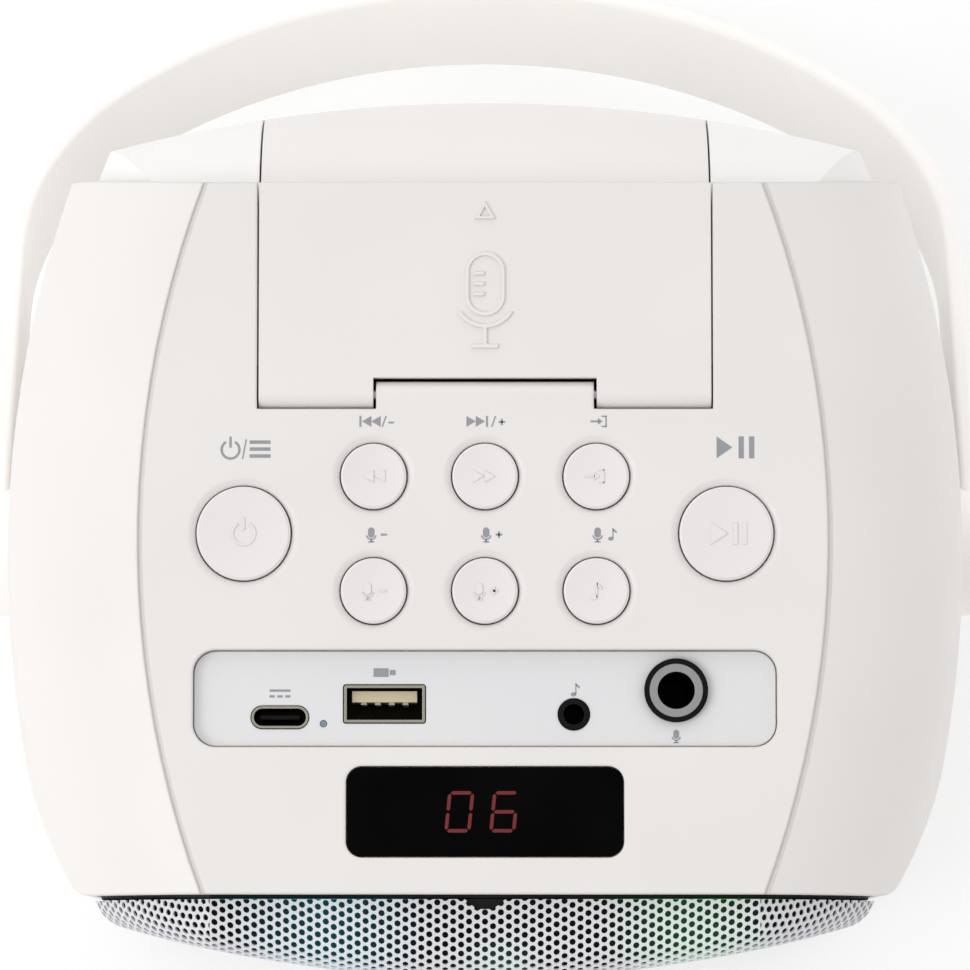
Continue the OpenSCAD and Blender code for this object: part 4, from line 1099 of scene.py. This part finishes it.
@dataclass
class ButtonMarks:
    """Small raised marks on the caps of the buttons, moulded in the caps' own plastic."""

    dish_z: float = 169.98
    rise: float = 0.12
    large_x: float = 41.6
    large_y: float = 0.5
    pitch: Point2 = (19.2, 19.8)

    def build(self) -> None:
        """Mould one mark on each cap."""
        high_y = self.large_y + self.pitch[1] / 2
        low_y = self.large_y - self.pitch[1] / 2
        wide = self.pitch[0]
        marks = {
            "power_button": [bow(-self.large_x, self.large_y, 2.2, 0.5, 120, 420),
                             bar(-self.large_x, self.large_y + 1.7, 0.5, 2.2)],
            "play_button": [wedge(self.large_x - 1.2, self.large_y, 3.0, 4.0),
                            bar(self.large_x + 1.6, self.large_y, 0.8, 3.8),
                            bar(self.large_x + 3.2, self.large_y, 0.8, 3.8)],
            "previous_button": [wedge(-wide - 0.9, high_y, -1.9, 2.2),
                                wedge(-wide + 1.1, high_y, -1.9, 2.2)],
            "next_button": [wedge(-1.1, high_y, 1.9, 2.2), wedge(0.9, high_y, 1.9, 2.2)],
            "source_button": arrow_in(wide, high_y, 2.4),
            "mic_down_button": [*microphone(-wide - 1.0, low_y, 3.0),
                                bar(-wide + 1.6, low_y, 1.4, 0.4)],
            "mic_up_button": [*microphone(-1.0, low_y, 3.0), bar(1.6, low_y, 1.4, 0.4),
                              bar(1.6, low_y, 0.4, 1.4)],
            "vocal_button": note(wide, low_y, 3.2),
        }
        for node, outlines in marks.items():
            plates = [flat_outline(outline, self.dish_z, self.rise) for outline in outlines]
            finish_piece(join(plates), node.replace("button", "cap_mark"), node, BUTTON_ABS)


@dataclass
class CameraRig:
    """The photograph's view: high above the panel, leaning slightly to the front."""

    target: Point = (0.0, 8.88, 170.0)
    distance: float = 1000.0
    lean_deg: float = 5.0
    pixels_per_mm: float = 5.8
    frame_px: float = 970.0
    sensor: float = 36.0

    def build(self) -> bpy.types.Object:
        """Create the camera and make it the scene's camera."""
        data = bpy.data.cameras.new("camera")
        data.sensor_width = self.sensor
        data.lens = self.sensor * self.pixels_per_mm * self.distance / self.frame_px
        data.clip_end = 10.0
        camera = bpy.data.objects.new("camera", data)
        lean = math.radians(self.lean_deg)
        away = Vector((0.0, -math.sin(lean), math.cos(lean)))
        camera.location = (Vector(self.target) + away * self.distance) * MM
        camera.rotation_euler = (lean, 0.0, 0.0)
        bpy.context.scene.collection.objects.link(camera)
        bpy.context.scene.camera = camera
        return camera


@dataclass
class Studio:
    """White table and soft light from the upper left."""

    floor_half: float = 6000.0
    horizon_strength: float = 1.18
    zenith_strength: float = 0.66
    rear_share: float = 0.28
    key_strength: float = 10.0
    key_size: float = 1.2
    key_place: Point = (-1.2, -0.35, 1.5)
    key_aim: Point = (0.0, 0.0, 0.1)
    camera_white: float = 0.5
    floor_glow: float = 1.1

    def floor(self) -> None:
        """Build the white table."""
        bpy.ops.object.select_all(action="DESELECT")
        bpy.ops.mesh.primitive_plane_add(size=2 * self.floor_half * MM, location=(0, 0, -0.02 * MM))
        plane = bpy.context.object
        plane.name = "table"
        material, tree, shader = new_material("white_table_paper")
        shader.inputs["Base Color"].default_value = linear("F8F8F8")
        shader.inputs["Roughness"].default_value = 0.9
        path = add_node(tree, "ShaderNodeLightPath")
        glow = add_node(tree, "ShaderNodeEmission",
                        {"Color": (1, 1, 1, 1), "Strength": self.floor_glow})
        seen = add_node(tree, "ShaderNodeMath",
                        links={0: path.outputs["Is Camera Ray"], 1: path.outputs["Is Glossy Ray"]},
                        operation="MAXIMUM")
        seen = add_node(tree, "ShaderNodeMath",
                        links={0: seen.outputs[0], 1: path.outputs["Is Transmission Ray"]},
                        operation="MAXIMUM")
        share = add_node(tree, "ShaderNodeMath", {1: self.camera_white}, {0: seen.outputs[0]},
                         operation="MULTIPLY")
        mixed = add_node(tree, "ShaderNodeMixShader",
                         links={0: share.outputs[0], 1: shader.outputs[0], 2: glow.outputs[0]})
        out = [n for n in tree.nodes if n.bl_idname == "ShaderNodeOutputMaterial"][0]
        tree.links.new(mixed.outputs[0], out.inputs["Surface"])
        plane.data.materials.append(material)

    def world(self) -> None:
        """Build the even light from all round."""
        world = bpy.data.worlds.new("studio")
        world.use_nodes = True
        tree = world.node_tree
        tree.nodes.clear()
        place = add_node(tree, "ShaderNodeTexCoord")
        split = add_node(tree, "ShaderNodeSeparateXYZ", links={0: place.outputs["Generated"]})
        fall = add_node(tree, "ShaderNodeMapRange",
                        {"From Min": 0.0, "From Max": 1.0,
                         "To Min": self.horizon_strength, "To Max": self.zenith_strength},
                        {"Value": split.outputs[2]})
        lean = add_node(tree, "ShaderNodeMapRange",
                        {"From Min": -1.0, "From Max": 1.0,
                         "To Min": 1 - self.rear_share, "To Max": 1 + self.rear_share},
                        {"Value": split.outputs[1]})
        level = add_node(tree, "ShaderNodeMath", links={0: fall.outputs[0], 1: lean.outputs[0]},
                         operation="MULTIPLY")
        back = add_node(tree, "ShaderNodeBackground", {"Color": (1, 1, 1, 1)},
                        {"Strength": level.outputs[0]})
        add_node(tree, "ShaderNodeOutputWorld", links={"Surface": back.outputs[0]})
        bpy.context.scene.world = world

    def key(self) -> None:
        """Hang the large soft light at the upper left."""
        data = bpy.data.lights.new("key", "AREA")
        data.shape = "DISK"
        data.size = self.key_size
        data.energy = self.key_strength
        lamp = bpy.data.objects.new("key", data)
        lamp.location = self.key_place
        aim = Vector(self.key_aim) - lamp.location
        lamp.rotation_euler = aim.to_track_quat("-Z", "Y").to_euler()
        bpy.context.scene.collection.objects.link(lamp)

    def build(self) -> None:
        """Build the table and the lights."""
        self.floor()
        self.world()
        self.key()
        bpy.context.scene.view_settings.view_transform = "Standard"


def main() -> None:
    """Build the scene piece by piece."""
    logging.basicConfig(level=logging.INFO, format="%(message)s")
    CameraRig().build()
    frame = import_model()
    Studio().build()
    for name, node in frame["nodes"].items():
        finish = CAD_FINISHES.get(name, BUTTON_ABS)
        dress(node, finish)
        smooth(node, 30.0)
    PerforatedGrille(GrilleForm()).build()
    CarryHandle().build()
    PanelPrints().build()
    SegmentDisplay().build()
    ButtonMarks().build()


if __name__ == "__main__":
    main()
